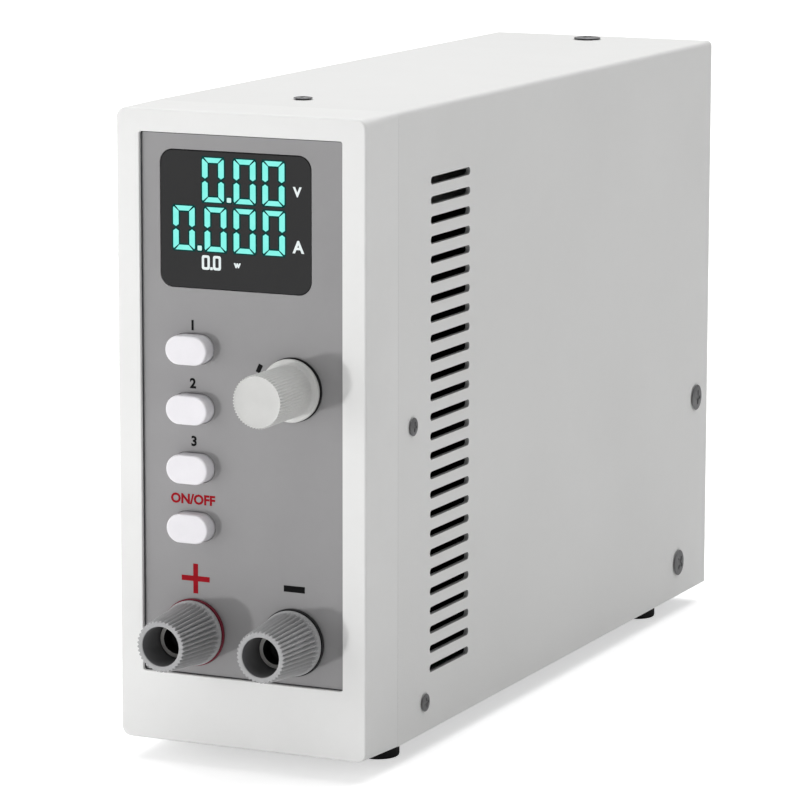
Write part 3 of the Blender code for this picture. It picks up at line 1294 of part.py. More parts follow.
def build():
    for obj in list(bpy.data.objects):
        bpy.data.objects.remove(obj, do_unlink=True)
    white = finish("white_plastic", (0.82, 0.82, 0.81), 0.45)
    button_white = finish("button_plastic", (0.86, 0.86, 0.86), 0.40)
    panel_grey = finish("panel_grey", (0.36, 0.36, 0.36), 0.45)
    knob_grey = finish("knob_grey", (0.64, 0.64, 0.63), 0.45)
    post_grey = finish("post_grey", (0.40, 0.40, 0.40), 0.45)
    paint = finish("cover_paint", (0.60, 0.60, 0.59), 0.55)
    smoked = finish("smoked_window", (0.035, 0.035, 0.036), 0.20)
    glass = finish("display_glass", (0.02, 0.02, 0.02), 0.30)
    board_green = finish("board_green", (0.03, 0.16, 0.07), 0.50)
    black = finish("black_plastic", (0.02, 0.02, 0.02), 0.45)
    red = finish("red_plastic", (0.35, 0.01, 0.03), 0.40)
    rubber = finish("foot_rubber", (0.015, 0.015, 0.015), 0.80)
    steel = finish("plain_steel", (0.55, 0.55, 0.55), 0.35, 1.0)
    nickel = finish("nickel_plate", (0.66, 0.65, 0.62), 0.30, 1.0)
    brass = finish("brass", (0.72, 0.55, 0.25), 0.35, 1.0)
    zinc = finish("zinc_sheet", (0.58, 0.58, 0.60), 0.45, 0.9)
    blackened = finish("blackened_screw", (0.10, 0.10, 0.10), 0.45, 0.8)
    aluminium = finish("heatsink_aluminium", (0.50, 0.50, 0.51), 0.40, 1.0)
    sleeve = finish("capacitor_sleeve", (0.03, 0.03, 0.06), 0.40)
    iron = finish("core_iron", (0.16, 0.15, 0.15), 0.60, 0.6)
    tape = finish("winding_tape", (0.65, 0.45, 0.08), 0.50)

    case = frame("case", location=(0, FRONT_Y, FOOT_HEIGHT))
    front = frame("front_face", case, rotation=FACING_FRONT)
    rear = frame("rear_face", case, (0, CASE_DEPTH, 0), FACING_REAR)

    front_bezel(front, white)
    front_panel(front, panel_grey)
    display(front, smoked, glass)
    front_circuit_board(front, board_green)
    push_buttons(front, button_white, black)
    rotary_encoder(front, knob_grey, steel, black)
    for name, side, colour in (("positive", -1, red), ("negative", 1, black)):
        binding_post(front, f"{name}_post", side, colour, post_grey, nickel, brass)
        input_lead(case, f"{name}_lead", side, colour)
    cover(case, paint)
    chassis_tray(case, zinc)
    front_bracket(case, zinc)
    rear_panel(rear, zinc)
    feet(case, rubber)
    cover_screws(case, blackened)
    fan(rear, black)
    power_inlet(rear, black)
    power_switch(rear, black)
    main_circuit_board(case, board_green, black)
    heatsink(case, aluminium)
    power_transistors(case, black)
    capacitor(case, sleeve)
    transformer(case, iron, tape)


build()
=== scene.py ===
"""A bench DC electronic load with every visible piece finished: fine shapes, printed signs and materials.

Lengths are in metres. The front frame has x to the right, y up from the case bottom and z out of the front
face. The rear frame is the same, seen from behind. Each piece stays where the CAD node that it stands for is.
"""
from math import cos, floor, pi, radians, sin
import bpy
import bmesh
from mathutils import Matrix, Vector


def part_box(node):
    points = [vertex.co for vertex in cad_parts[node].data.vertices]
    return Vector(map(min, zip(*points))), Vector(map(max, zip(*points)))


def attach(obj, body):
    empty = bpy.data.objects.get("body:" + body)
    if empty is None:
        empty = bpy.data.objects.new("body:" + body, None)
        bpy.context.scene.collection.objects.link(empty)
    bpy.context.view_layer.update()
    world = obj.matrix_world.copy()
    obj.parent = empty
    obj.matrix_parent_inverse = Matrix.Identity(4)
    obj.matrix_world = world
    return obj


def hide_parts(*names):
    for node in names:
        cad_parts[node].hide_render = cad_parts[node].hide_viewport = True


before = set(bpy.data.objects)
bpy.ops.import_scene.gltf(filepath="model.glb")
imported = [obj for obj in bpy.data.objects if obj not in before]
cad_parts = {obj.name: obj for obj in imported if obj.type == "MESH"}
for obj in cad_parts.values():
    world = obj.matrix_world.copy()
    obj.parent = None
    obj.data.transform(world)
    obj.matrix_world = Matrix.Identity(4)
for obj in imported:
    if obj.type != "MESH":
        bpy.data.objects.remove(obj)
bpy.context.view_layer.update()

# The case, read from the frame
COVER_LOW, COVER_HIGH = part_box("cover")
FRONT_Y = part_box("front_bezel")[0].y
CASE_WIDTH = COVER_HIGH.x - COVER_LOW.x
CASE_HEIGHT = COVER_HIGH.z - COVER_LOW.z
CASE_DEPTH = COVER_HIGH.y - FRONT_Y
CASE_BOTTOM = COVER_LOW.z

CASE_FRAME = Matrix.Translation((0, FRONT_Y, CASE_BOTTOM))
FRONT_FRAME = CASE_FRAME @ Matrix.Rotation(pi / 2, 4, "X")
RIGHT_FRAME = CASE_FRAME @ Matrix.Rotation(pi / 2, 4, "Z") @ Matrix.Rotation(pi / 2, 4, "X")
LEFT_FRAME = CASE_FRAME @ Matrix.Rotation(-pi / 2, 4, "Z") @ Matrix.Rotation(pi / 2, 4, "X")
REAR_FRAME = (CASE_FRAME @ Matrix.Translation((0, CASE_DEPTH, 0))
              @ Matrix.Rotation(pi, 4, "Z") @ Matrix.Rotation(pi / 2, 4, "X"))


def front_box(node):
    """Lowest and highest corners of a CAD node in the front frame."""
    low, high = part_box(node)
    return (Vector((low.x, low.z - CASE_BOTTOM, FRONT_Y - high.y)),
            Vector((high.x, high.z - CASE_BOTTOM, FRONT_Y - low.y)))


def front_centre(node):
    low, high = front_box(node)
    middle = (low + high) / 2
    return middle.x, middle.y


def middle_of(node):
    low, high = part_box(node)
    return (low + high) / 2


def height_of(node):
    """Height of a CAD node's middle above the case bottom."""
    low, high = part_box(node)
    return (low.z + high.z) / 2 - CASE_BOTTOM


# Sides of round shapes
SMALL_HOLE_SIDES = 20
PILLAR_SIDES = 24
BOSS_SIDES = 32
HOLE_SIDES = 40
STUD_SIDES = 48
FOOT_SIDES = 56
WHEEL_SIDES = 64
COLLAR_SIDES = 96
# Steps of a quarter or half round
PRINT_STEPS = 4
FOLD_STEPS = 10
CORNER_STEPS = 12
BUTTON_STEPS = 18

# Fits and broken edges
CLEARANCE = 0.0003
CUT_MARGIN = 0.001
FINE_EDGE = 0.00012
NEAT_FIT = 0.00014
SEAM = 0.00005
MOULDED_EDGE = 0.0002
SHARP_ANGLE = radians(35)
BROKEN_ANGLE = radians(40)
FLAT_ANGLE = radians(1)
WELD_DISTANCE = 1e-6
PRINT_DEPTH = 0.00002
PRINT_HEIGHT = 0.00004

# Front bezel
BEZEL_DEPTH = COVER_LOW.y - FRONT_Y - SEAM
BEZEL_BACK = -front_box("front_bezel")[0].z
BEZEL_CORNER = 0.0026
BEZEL_REAR_CORNER = 0.0003
BEZEL_EDGE = 0.0006
BEZEL_EDGE_STEPS = 5
BEZEL_WALL = 0.0025
BEZEL_FRONT_WALL = 0.003
BEZEL_LIP = 0.0009
BEZEL_SIDE_BORDER = 0.0064
BEZEL_TOP_BORDER = 0.0057
BEZEL_CHIN = 0.01765
BEZEL_TONGUE_INSET = 0.0015
OPENING_CORNER = 0.0006
OPENING_EDGE = 0.00025
OPENING_WIDTH = CASE_WIDTH - 2 * BEZEL_SIDE_BORDER
OPENING_HEIGHT = CASE_HEIGHT - BEZEL_TOP_BORDER - BEZEL_CHIN
OPENING_CENTRE = (0, BEZEL_CHIN + OPENING_HEIGHT / 2)
REBATE = 0.0018
BOSS_RADIUS = 0.003
BOSS_BORE = 0.00125
BOSS_BORE_DEPTH = 0.0115
BOSS_SPREAD = 0.025
BOSS_HEIGHT = 0.0075

# Front panel
PANEL_LOW, PANEL_HIGH = front_box("front_panel")
PANEL_FACE = PANEL_HIGH.z
PANEL_THICKNESS = 0.0015
PANEL_BACK = PANEL_FACE - PANEL_THICKNESS
PANEL_CORNER = 0.001
# Thin grey strip of painted shade round the panel's edge in the bezel's opening
OPENING_SHADE_WIDTH = 0.00025
OPENING_SHADE_HEIGHT = 0.00015
OPENING_FIT = 0.00002
PILLAR_RADIUS = 0.002
PILLAR_SPREAD = 0.026
PILLAR_HEIGHTS = (0.048, 0.147)
BUSH_HOLE = 0.0043
BOSS_HOLE = 0.0053

# Display window and its signs
WINDOW_FLANGE = 0.0012
WINDOW_LOW, WINDOW_HIGH = front_box("display_window")
WINDOW_WIDTH = WINDOW_HIGH.x - WINDOW_LOW.x - 2 * WINDOW_FLANGE
WINDOW_HEIGHT = WINDOW_HIGH.y - WINDOW_LOW.y - 2 * WINDOW_FLANGE
WINDOW_CENTRE = front_centre("display_window")
WINDOW_CORNER = 0.0034
WINDOW_EDGE = 0.0002
DIGIT_WIDTH = 0.0060
DIGIT_HEIGHT = 0.0110
UPRIGHT_WIDTH = 0.00152
BAR_HEIGHT = 0.00122
SEGMENT_GAP = 0.00017
HALO_WIDTH = 0.00038
SHARPEST_SPREAD = 0.4
MIDDLE_GAP = 0.0006
MIDDLE_BEVEL = 0.0005
DIGIT_ROUNDING = 0.0004
UPPER_ROW = 0.14295
LOWER_ROW = 0.13072
UPPER_DIGITS = (-0.00788, 0.00082, 0.00871)
LOWER_DIGITS = (-0.0160, -0.00726, 0.00075, 0.0088)
POINT_SIZE = 0.0012
DECIMAL_POINTS = ((-0.00349, 0.1382), (-0.01167, 0.1259))
UNIT_SIGNS = (("V", (0.0152, 0.1412), 0.0033), ("A", (0.01545, 0.1277), 0.0042),
              ("w", (-0.0013, 0.1221), 0.0022))
UNIT_BOLDNESS = 0.00012
SMALL_FIGURES = ((-0.0100, 0.1224), (-0.0069, 0.1224))
SMALL_FIGURE_SIZE = (0.0022, 0.0036)
SMALL_STROKE = 0.00062
SMALL_CORNER = 0.9 * SMALL_STROKE
SMALL_POINT = ((-0.00845, 0.12095), 0.0007)

# Push buttons
BUTTON_NAMES = ("button_1", "button_2", "button_3", "button_4")
BUTTON_FLANGE = 0.001
BUTTON_FLANGE_THICKNESS = 0.0008
BUTTON_EDGE = 0.0005
BUTTON_EDGE_STEPS = 5
STEM_RADIUS = 0.0017
LABEL_HEIGHT = 0.0034
LABEL_BOLDNESS = 0.00013
BUTTON_LABELS = (("1", (-0.0138, 0.1065)), ("2", (-0.0138, 0.0919)), ("3", (-0.0136, 0.0773)),
                 ("ON/OFF", (-0.0140, 0.0625)))

# Knob
KNOB_TEETH = 54
KNOB_TOOTH_DEPTH = 0.0004
KNOB_SKIRT = 0.0012
KNOB_FILLET = 0.0009
KNOB_LIP = 0.0004
KNOB_EDGE = 0.00032
KNOB_FACE_RADIUS = 0.00665
KNOB_WAIST = 0.0001
KNOB_DISH = 0.00015
KNOB_DISH_RIM = 0.0002
KNOB_DISH_FLOOR = 0.0005
KNOB_TEETH_ROOT = 0.2
KNOB_TEETH_SHOULDER = 0.7
KNOB_TEETH_FADE = 0.6
KNOB_FILLET_STEPS = 6
KNOB_TOOTH_POINTS = 6
NUT_ROOM = 0.0061
NUT_ROOM_DEPTH = 0.0015
BUSH_ROOM = 0.0043
BUSH_ROOM_DEPTH = 0.0025
SHAFT_ROOM = 0.0033
SHAFT_ROOM_ROOF = 0.003
TICK_ENDS = ((0.00420, 0.0959), (0.00512, 0.0979))
TICK_WIDTH = 0.0012
KNOB_RIB_RUN = 0.45
# A thin black ring round the knob's skirt: painted shadow of the gap behind the knob
KNOB_SHADE_RING_HEIGHT = 0.0003
KNOB_SHADE_RING_BORDER = 0.00018

# Binding posts
POST_NAMES = ("positive", "negative")
CAP_RIBS = 38
CAP_RIB_DEPTH = 0.0009
CAP_BAND = 0.0008
CAP_RIB_RUN = 0.0013
CAP_RIM_RIB_DEPTH = 0.0005
CAP_RIM_EDGE = 0.00035
CAP_RIM_FADE = 0.4
CAP_RIM_RUN = 0.0015
CAP_RIM_FLARE = 0.00012
CAP_RIB_STEPS = 5
CAP_RIB_POINTS = 10
RIB_ROUNDNESS = 0.8
CAP_BORE = 0.005
CAP_MOUTH_RADIUS = 0.0066
WASHER_RADIUS = 0.006
WASHER_THICKNESS = 0.0008
THREAD_PITCH = 0.001
THREAD_DEPTH = 0.00035
THREAD_ROWS = 8
TUBE_RADIUS = 0.0047
SOCKET_BORE = 0.0036
CONTACT_BORE = 0.0021
SOCKET_BORE_DEPTH = 0.004
CONTACT_BORE_DEPTH = 0.0205
STUD_RADIUS = 0.003
COLLAR_HOLE = 0.0033
COLLAR_BOSS = 0.005
PLUS_CENTRE = (-0.0134, 0.0423)
PLUS_SIZE = (0.0079, 0.0076)
PLUS_BAR = 0.00135
MINUS = (0.0112, 0.0170, 0.0413, 0.0429)

# Cover
FOLD_RADIUS = 0.0014
COVER_SHEET = 0.0012
SLOT_ROWS = 26
SLOT_PITCH = 0.005
SLOT_LENGTH = 0.0242
SLOT_HEIGHT = 0.0020
SLOT_START = 0.0381
LOWEST_SLOT = 0.0159
SCREW_HOLE = 0.0018

# Screws
SCREW_NAMES = ("front_mid", "front_low", "rear_mid", "rear_low")
TOP_SCREWS = ("top_front_screw", "top_rear_screw")
SHANK_RADIUS = 0.0015
SCREW_LENGTH = 0.006
CROSS_REACH = 0.27
CROSS_WIDTH = 0.13
CROSS_DEPTH = 0.62
CROSS_TURN = 40
SCREW_FLATNESS = 0.42
SCREW_RIM = 0.35
SCREW_DOME = 0.45
SCREW_TAPER = 0.35
SCREW_DOME_STEPS = 6

# Feet
FOOT_EDGE = 0.0006
FOOT_DISH = 0.0006
FOOT_DISH_FLOOR = 0.7
FOOT_DISH_RIM = 0.8
FOOT_STEM = 0.002
FOOT_STEM_LENGTH = 0.0015
FOOT_BARB = 0.0026
FOOT_BARB_TIP = 0.0014
FOOT_BARB_END = 0.0035

# Rear panel, mains inlet, switch, fan and grille
PIN_CENTRES = ((-0.007, -0.001), (0, 0.002), (0.007, -0.001))
PIN_WIDTH = 0.002
PIN_HEIGHT = 0.004
PIN_BACK = -0.0120
PIN_FRONT = -0.0005
FAN_HEIGHT = height_of("fan_frame")
FAN_STEPS = 16
FAN_SIZE = 0.060
FAN_CORNER = 0.004
FAN_THICKNESS = 0.020
FAN_DUCT = 0.0285
FAN_HOLE_HALF_PITCH = 0.025
FAN_HOLE = 0.00215
FAN_CORNERS = ((1, 1), (1, -1), (-1, 1), (-1, -1))
FAN_SCREW_HEAD = 0.0066
FAN_SCREW_HEIGHT = 0.0022
FAN_SCREW_TURN = 0.6
HUB_RADIUS = 0.0135
HUB_PLATE = 0.003
HUB_FLOOR = 0.0008
HUB_CHAMFER = 0.0003
HUB_BACK_CHAMFER = 0.0002
HUB_BACK_RUN = 0.0005
STRUT_WIDTH = 0.003
STRUT_OVERLAP = 0.001
STRUT_INSET = 0.0004
ROTOR_RADIUS = 0.0273
ROTOR_GAP = 0.0005
ROTOR_FRONT_GAP = 0.002
ROTOR_SHAFT = 0.0015
HUB_EDGE = 0.001
HUB_DISH = 0.0003
HUB_DISH_RIM = 0.72
HUB_DISH_FLOOR = 0.70
HUB_EDGE_STEPS = 5
BLADE_COUNT = 7
BLADE_THICKNESS = 0.0012
BLADE_ROOT_SWEEP = 0.007
BLADE_TIP_SWEEP = 0.013
BLADE_CAMBER = 0.12
BLADE_END_THICKNESS = 0.6
BLADE_SWELL = 0.8
BLADE_ROOT = 0.0006
BLADE_SECTIONS = 7
BLADE_POINTS = 6
GRILLE_RINGS = 4
GRILLE_SLOT = 0.0042
GRILLE_RIB = 0.002
GRILLE_SPOKES = 4
GRILLE_SPOKE = 0.003
SHEET = 0.0012
SHEET_CORNER = 0.001
INLET_HEIGHT = height_of("power_inlet")
INLET_HOLE = (0.0280, 0.0206)
SWITCH_HEIGHT = height_of("switch_housing")
SWITCH_HOLE = (0.0132, 0.0192)
REAR_FLANGE = 0.014
REAR_TOP_FLANGE = (0.044, 0.017)
TRAY_FLANGE = 0.0145

# Camera: angles in radians, distance and aim in case heights, focal length in pixels of the 800 px frame
CAMERA_AZIMUTH = 0.43227
CAMERA_ELEVATION = 0.17270
CAMERA_ROLL = 0.0016
CAMERA_DISTANCE = 7.0979
CAMERA_AIM = (0.0406, 0.5, 0.4796)
CLIP_START = 0.01
FOCAL_PIXELS = 4310.27
FRAME_PIXELS = 800
SENSOR = 36.0

# Stage: the lamps' directions, strengths and spreads in degrees; the softbox's place and power in watts
WHITE = (1, 1, 1, 1)
FLOOR_SPAN = (-6, -6, 6, 9)
FLOOR_THICKNESS = 0.02
FLOOR_TONES = ((0.79, 0.79, 0.79, 1), (0.77, 0.77, 0.77, 1))
FLOOR_PATCHES = 4.0
FLOOR_GLOW = 0.56
WORLD_LIGHT = 0.31
OVERHEAD_LIGHT = ((-0.1, 0.30, 1.0), 2.52, 70)
FRONT_LIGHT = ((-0.478, -0.865, -0.153), 0.93, 4)
SOFTBOX_SIZE = 0.22
SOFTBOX_POWER = 0.29
SOFTBOX_PLACE = (-0.26, FRONT_Y - 0.24, 0.13)
SOFTBOX_AIM = (0, FRONT_Y, 0.10)


# Outlines: lists of (x, y) points, counter-clockwise


def circle(radius, count, centre=(0, 0), phase=0.0):
    angles = [phase + 2 * pi * i / count for i in range(count)]
    return [(centre[0] + radius * cos(a), centre[1] + radius * sin(a)) for a in angles]


def rounded_rectangle(width, height, radius, steps, centre=(0, 0)):
    points = []
    for corner, (side_x, side_y) in enumerate(((1, 1), (-1, 1), (-1, -1), (1, -1))):
        middle_x = centre[0] + side_x * (width / 2 - radius)
        middle_y = centre[1] + side_y * (height / 2 - radius)
        for i in range(steps + 1):
            angle = pi / 2 * (corner + i / steps)
            points.append((middle_x + radius * cos(angle), middle_y + radius * sin(angle)))
    return points


def matching_circle(radius, steps, centre=(0, 0)):
    count = 4 * (steps + 1)
    return circle(radius, count, centre, pi / count)


def stadium(length, width, steps, centre=(0, 0)):
    radius = width / 2
    reach = length / 2 - radius
    points = []
    for side in (1, -1):
        for i in range(steps + 1):
            angle = pi * (i / steps - 0.5) + (0 if side > 0 else pi)
            points.append((centre[0] + side * reach + radius * cos(angle), centre[1] + radius * sin(angle)))
    return points


def stadium_circle(radius, steps, centre=(0, 0)):
    count = 2 * (steps + 1)
    return circle(radius, count, centre, -pi / 2 + pi / count)


def rectangle(x0, y0, x1, y1):
    return [(x1, y1), (x0, y1), (x0, y0), (x1, y0)]


def wavy_circle(crest, depth, teeth, points_per_tooth):
    points = []
    count = teeth * points_per_tooth
    for i in range(count):
        angle = 2 * pi * i / count
        radius = crest - depth * (0.5 - 0.5 * cos(teeth * angle))
        points.append((radius * cos(angle), radius * sin(angle)))
    return points


def ribbed_circle(crest, depth, teeth, points_per_tooth):
    """Round ribs that meet in narrow grooves."""
    points = []
    count = teeth * points_per_tooth
    for i in range(count):
        angle = 2 * pi * i / count
        radius = crest - depth * (1 - abs(sin(teeth * angle / 2))) ** RIB_ROUNDNESS
        points.append((radius * cos(angle), radius * sin(angle)))
    return points


def bar_outline(start, end, width):
    """A straight stroke from one point to another."""
    run = (Vector(end) - Vector(start)).normalized() * width / 2
    side = (-run.y, run.x)
    corners = ((start, 1), (end, 1), (end, -1), (start, -1))
    return [(point[0] - hand * side[0], point[1] - hand * side[1]) for point, hand in corners]


def swollen(outline, distance):
    """A convex outline with each side moved out."""
    count = len(outline)
    points = [Vector(point) for point in outline]
    turn = sum(a.x * b.y - b.x * a.y for a, b in zip(points, points[1:] + points[:1]))
    result = []
    for i in range(count):
        before = (points[i] - points[i - 1]).normalized()
        after = (points[(i + 1) % count] - points[i]).normalized()
        outward = Vector((before.y + after.y, -before.x - after.x)) * (1 if turn > 0 else -1)
        spread = max(SHARPEST_SPREAD, 1 + before.dot(after))
        result.append(tuple(points[i] + outward * distance / spread))
    return result


def arc_band(inner, outer, start, end, steps, centre):
    angles = [start + (end - start) * i / steps for i in range(steps + 1)]
    points = [(outer, a) for a in angles] + [(inner, a) for a in reversed(angles)]
    return [(centre[0] + r * cos(a), centre[1] + r * sin(a)) for r, a in points]


def fold_path(width, height, radius, steps):
    half = width / 2
    points = [(half, 0.0)]
    for side, start in ((1, 0.0), (-1, pi / 2)):
        for i in range(steps + 1):
            angle = start + pi / 2 * i / steps
            x = side * (half - radius) + radius * cos(angle)
            points.append((x, height - radius + radius * sin(angle)))
    points.append((-half, 0.0))
    return points


def rounding(radius, steps):
    """(inset, drop) pairs of a quarter round, from the side of a piece to its face."""
    return [(radius * (1 - cos(pi / 2 * i / steps)), radius * (1 - sin(pi / 2 * i / steps)))
            for i in range(steps + 1)]


# Meshes


def skin(shape, loops, ring=False):
    """Skin loops of 3-D points in order. A ring joins the last to the first, else both ends are capped."""
    rows = [[shape.verts.new(point) for point in loop] for loop in loops]
    pairs = list(zip(rows, rows[1:]))
    if ring:
        pairs.append((rows[-1], rows[0]))
    else:
        shape.faces.new(list(reversed(rows[0])))
        shape.faces.new(rows[-1])
    for low, high in pairs:
        for i in range(len(low)):
            j = (i + 1) % len(low)
            shape.faces.new((low[i], low[j], high[j], high[i]))


def mesh_of(name, shape):
    bmesh.ops.recalc_face_normals(shape, faces=shape.faces)
    mesh = bpy.data.meshes.new(name)
    shape.to_mesh(mesh)
    shape.free()
    return mesh


def stacks(name, *solids, ring=False):
    """Separate solids in one mesh, each a list of (outline, z) layers."""
    shape = bmesh.new()
    for layers in solids:
        skin(shape, [[(x, y, z) for x, y in outline] for outline, z in layers], ring)
    return mesh_of(name, shape)


def turned(name, profile, count, ring=False):
    return stacks(name, [(circle(radius, count), z) for radius, z in profile], ring=ring)


def prisms(name, outlines, low, high):
    return stacks(name, *[[(outline, low), (outline, high)] for outline in outlines])


def folded_sheet(name, outer, inner, start, end):
    loops = []
    for path, y in ((outer, start), (outer, end), (inner, end), (inner, start)):
        loops.append([(x, y, z) for x, z in path])
    shape = bmesh.new()
    rows = [[shape.verts.new(point) for point in loop] for loop in loops]
    for low, high in zip(rows, rows[1:] + rows[:1]):
        for i in range(len(low) - 1):
            shape.faces.new((low[i], low[i + 1], high[i + 1], high[i]))
    shape.faces.new([row[0] for row in rows])
    shape.faces.new([row[-1] for row in reversed(rows)])
    return mesh_of(name, shape)


def object_of(name, data):
    obj = bpy.data.objects.new(name, data)
    bpy.context.scene.collection.objects.link(obj)
    return obj


def settled_mesh(obj):
    """The object's mesh with its modifiers or curve settings worked in."""
    bpy.context.view_layer.update()
    evaluated = obj.evaluated_get(bpy.context.evaluated_depsgraph_get())
    return bpy.data.meshes.new_from_object(evaluated)


def carve(mesh, *tools, operation="DIFFERENCE"):
    """The mesh with the tool meshes cut out of it, or joined to it."""
    blank = object_of("blank", mesh)
    helpers = [object_of("tool", tool) for tool in tools]
    for helper in helpers:
        modifier = blank.modifiers.new("carve", "BOOLEAN")
        modifier.operation = operation
        modifier.solver = "EXACT"
        modifier.object = helper
    result = settled_mesh(blank)
    for obj in (*helpers, blank):
        bpy.data.objects.remove(obj)
    return result


def moved(mesh, matrix):
    mesh.transform(matrix)
    return mesh


def text_mesh(words, centre, size, boldness, low, high):
    """Plain lettering in the front frame, with its middle at the centre."""
    curve = bpy.data.curves.new("lettering", "FONT")
    curve.body = words
    curve.size = size
    curve.align_x = "CENTER"
    curve.align_y = "CENTER"
    curve.extrude = (high - low) / 2
    curve.offset = boldness
    curve.resolution_u = 3
    holder = object_of("lettering", curve)
    mesh = settled_mesh(holder)
    bpy.data.objects.remove(holder)
    middle = [(min(v.co[i] for v in mesh.vertices) + max(v.co[i] for v in mesh.vertices)) / 2 for i in (0, 1)]
    return moved(mesh, Matrix.Translation((centre[0] - middle[0], centre[1] - middle[1], (low + high) / 2)))


def merged(name, meshes):
    shape = bmesh.new()
    for mesh in meshes:
        shape.from_mesh(mesh)
    result = bpy.data.meshes.new(name)
    shape.to_mesh(result)
    shape.free()
    return result


def piece(name, mesh, place, body, material, nodes=(), edge=0.0, segments=2):
    """One finished piece: the mesh in its place, riding on a body, in place of the named CAD nodes."""
    mesh.transform(place)
    mesh.materials.clear()
    mesh.materials.append(material)
    mesh.shade_smooth()
    mesh.set_sharp_from_angle(angle=SHARP_ANGLE)
    obj = object_of(name, mesh)
    if edge:
        modifier = obj.modifiers.new("broken_edges", "BEVEL")
        modifier.width = edge
        modifier.segments = segments
        modifier.limit_method = "ANGLE"
        modifier.angle_limit = BROKEN_ANGLE
        modifier.use_clamp_overlap = True
    normals = obj.modifiers.new("flat_faces", "WEIGHTED_NORMAL")
    normals.keep_sharp = True
    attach(obj, body)
    if nodes:
        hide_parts(*nodes)
    return obj


def polished(node, body, material, edge):
    """A CAD node's own shape with its flat faces whole again and its edges broken."""
    shape = bmesh.new()
    shape.from_mesh(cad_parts[node].data)
    bmesh.ops.remove_doubles(shape, verts=shape.verts, dist=WELD_DISTANCE)
    bmesh.ops.dissolve_limit(shape, angle_limit=FLAT_ANGLE, verts=shape.verts, edges=shape.edges)
    mesh = bpy.data.meshes.new(node)
    shape.to_mesh(mesh)
    shape.free()
    return piece(f"{node}_piece", mesh, Matrix(), body, material, (node,), edge)


# Materials


def linear(code):
    """A colour written as RRGGBB, in linear light."""
    parts = [int(code[i:i + 2], 16) / 255 for i in (0, 2, 4)]
    return (*[p / 12.92 if p <= 0.04045 else ((p + 0.055) / 1.055) ** 2.4 for p in parts], 1.0)


def node_group(name, inputs, outputs):
    tree = bpy.data.node_groups.new(name, "ShaderNodeTree")
    for socket, kind, value in inputs:
        item = tree.interface.new_socket(socket, in_out="INPUT", socket_type=f"NodeSocket{kind}")
        item.default_value = value
    for socket, kind in outputs:
        tree.interface.new_socket(socket, in_out="OUTPUT", socket_type=f"NodeSocket{kind}")
    return tree, tree.nodes.new("NodeGroupInput"), tree.nodes.new("NodeGroupOutput")


def noise(tree, vector, scale, detail=3.0, roughness=0.55):
    node = tree.nodes.new("ShaderNodeTexNoise")
    node.inputs["Detail"].default_value = detail
    node.inputs["Roughness"].default_value = roughness
    tree.links.new(vector, node.inputs["Vector"])
    if isinstance(scale, float):
        node.inputs["Scale"].default_value = scale
    else:
        tree.links.new(scale, node.inputs["Scale"])
    return node.outputs["Fac"]


def maths(tree, operation, first, second):
    node = tree.nodes.new("ShaderNodeMath")
    node.operation = operation
    for socket, value in zip(node.inputs, (first, second)):
        if isinstance(value, (int, float)):
            socket.default_value = value
        else:
            tree.links.new(value, socket)
    return node.outputs["Value"]


def remapped(tree, value, low, high, to_low=0.0, to_high=1.0):
    node = tree.nodes.new("ShaderNodeMapRange")
    tree.links.new(value, node.inputs["Value"])
    for socket, number in (("From Min", low), ("From Max", high), ("To Min", to_low), ("To Max", to_high)):
        node.inputs[socket].default_value = number
    return node.outputs["Result"]


def blended(tree, factor, first, second):
    node = tree.nodes.new("ShaderNodeMix")
    node.data_type = "RGBA"
    colours = [socket for socket in node.inputs if socket.type == "RGBA"]
    tree.links.new(factor, node.inputs["Factor"])
    for socket, value in zip(colours, (first, second)):
        if isinstance(value, tuple):
            socket.default_value = value
        else:
            tree.links.new(value, socket)
    return next(socket for socket in node.outputs if socket.type == "RGBA")


def own_place(tree):
    return tree.nodes.new("ShaderNodeTexCoord").outputs["Object"]


def surface_tone_group():
    """Soft patches between two tones of one colour, and a roughness that changes with them."""
    tree, given, result = node_group(
        "surface_tone",
        [("Colour", "Color", (1, 1, 1, 1)), ("Second Colour", "Color", (1, 1, 1, 1)),
         ("Patch Scale", "Float", 60.0), ("Roughness", "Float", 0.5), ("Roughness Spread", "Float", 0.1)],
        [("Colour", "Color"), ("Roughness", "Float")])
    place = own_place(tree)
    patches = remapped(tree, noise(tree, place, given.outputs["Patch Scale"], 4.0), 0.32, 0.68)
    fine_scale = maths(tree, "MULTIPLY", given.outputs["Patch Scale"], 14.0)
    specks = noise(tree, place, fine_scale, 2.0)
    mask = maths(tree, "ADD", maths(tree, "MULTIPLY", patches, 0.7), maths(tree, "MULTIPLY", specks, 0.3))
    tree.links.new(blended(tree, mask, given.outputs["Colour"], given.outputs["Second Colour"]),
                   result.inputs["Colour"])
    swing = maths(tree, "MULTIPLY", maths(tree, "SUBTRACT", mask, 0.5), given.outputs["Roughness Spread"])
    tree.links.new(maths(tree, "ADD", given.outputs["Roughness"], swing), result.inputs["Roughness"])
    return tree


def moulded_grain_group():
    """Height of a spark-eroded plastic texture: fine pits over a soft unevenness."""
    tree, given, result = node_group(
        "moulded_grain", [("Grain Scale", "Float", 3200.0), ("Waviness", "Float", 0.3)],
        [("Height", "Float")])
    place = own_place(tree)
    grain = noise(tree, place, given.outputs["Grain Scale"], 3.0, 0.6)
    slow_scale = maths(tree, "MULTIPLY", given.outputs["Grain Scale"], 0.05)
    slow = maths(tree, "MULTIPLY", noise(tree, place, slow_scale, 2.0), given.outputs["Waviness"])
    tree.links.new(maths(tree, "ADD", grain, slow), result.inputs["Height"])
    return tree


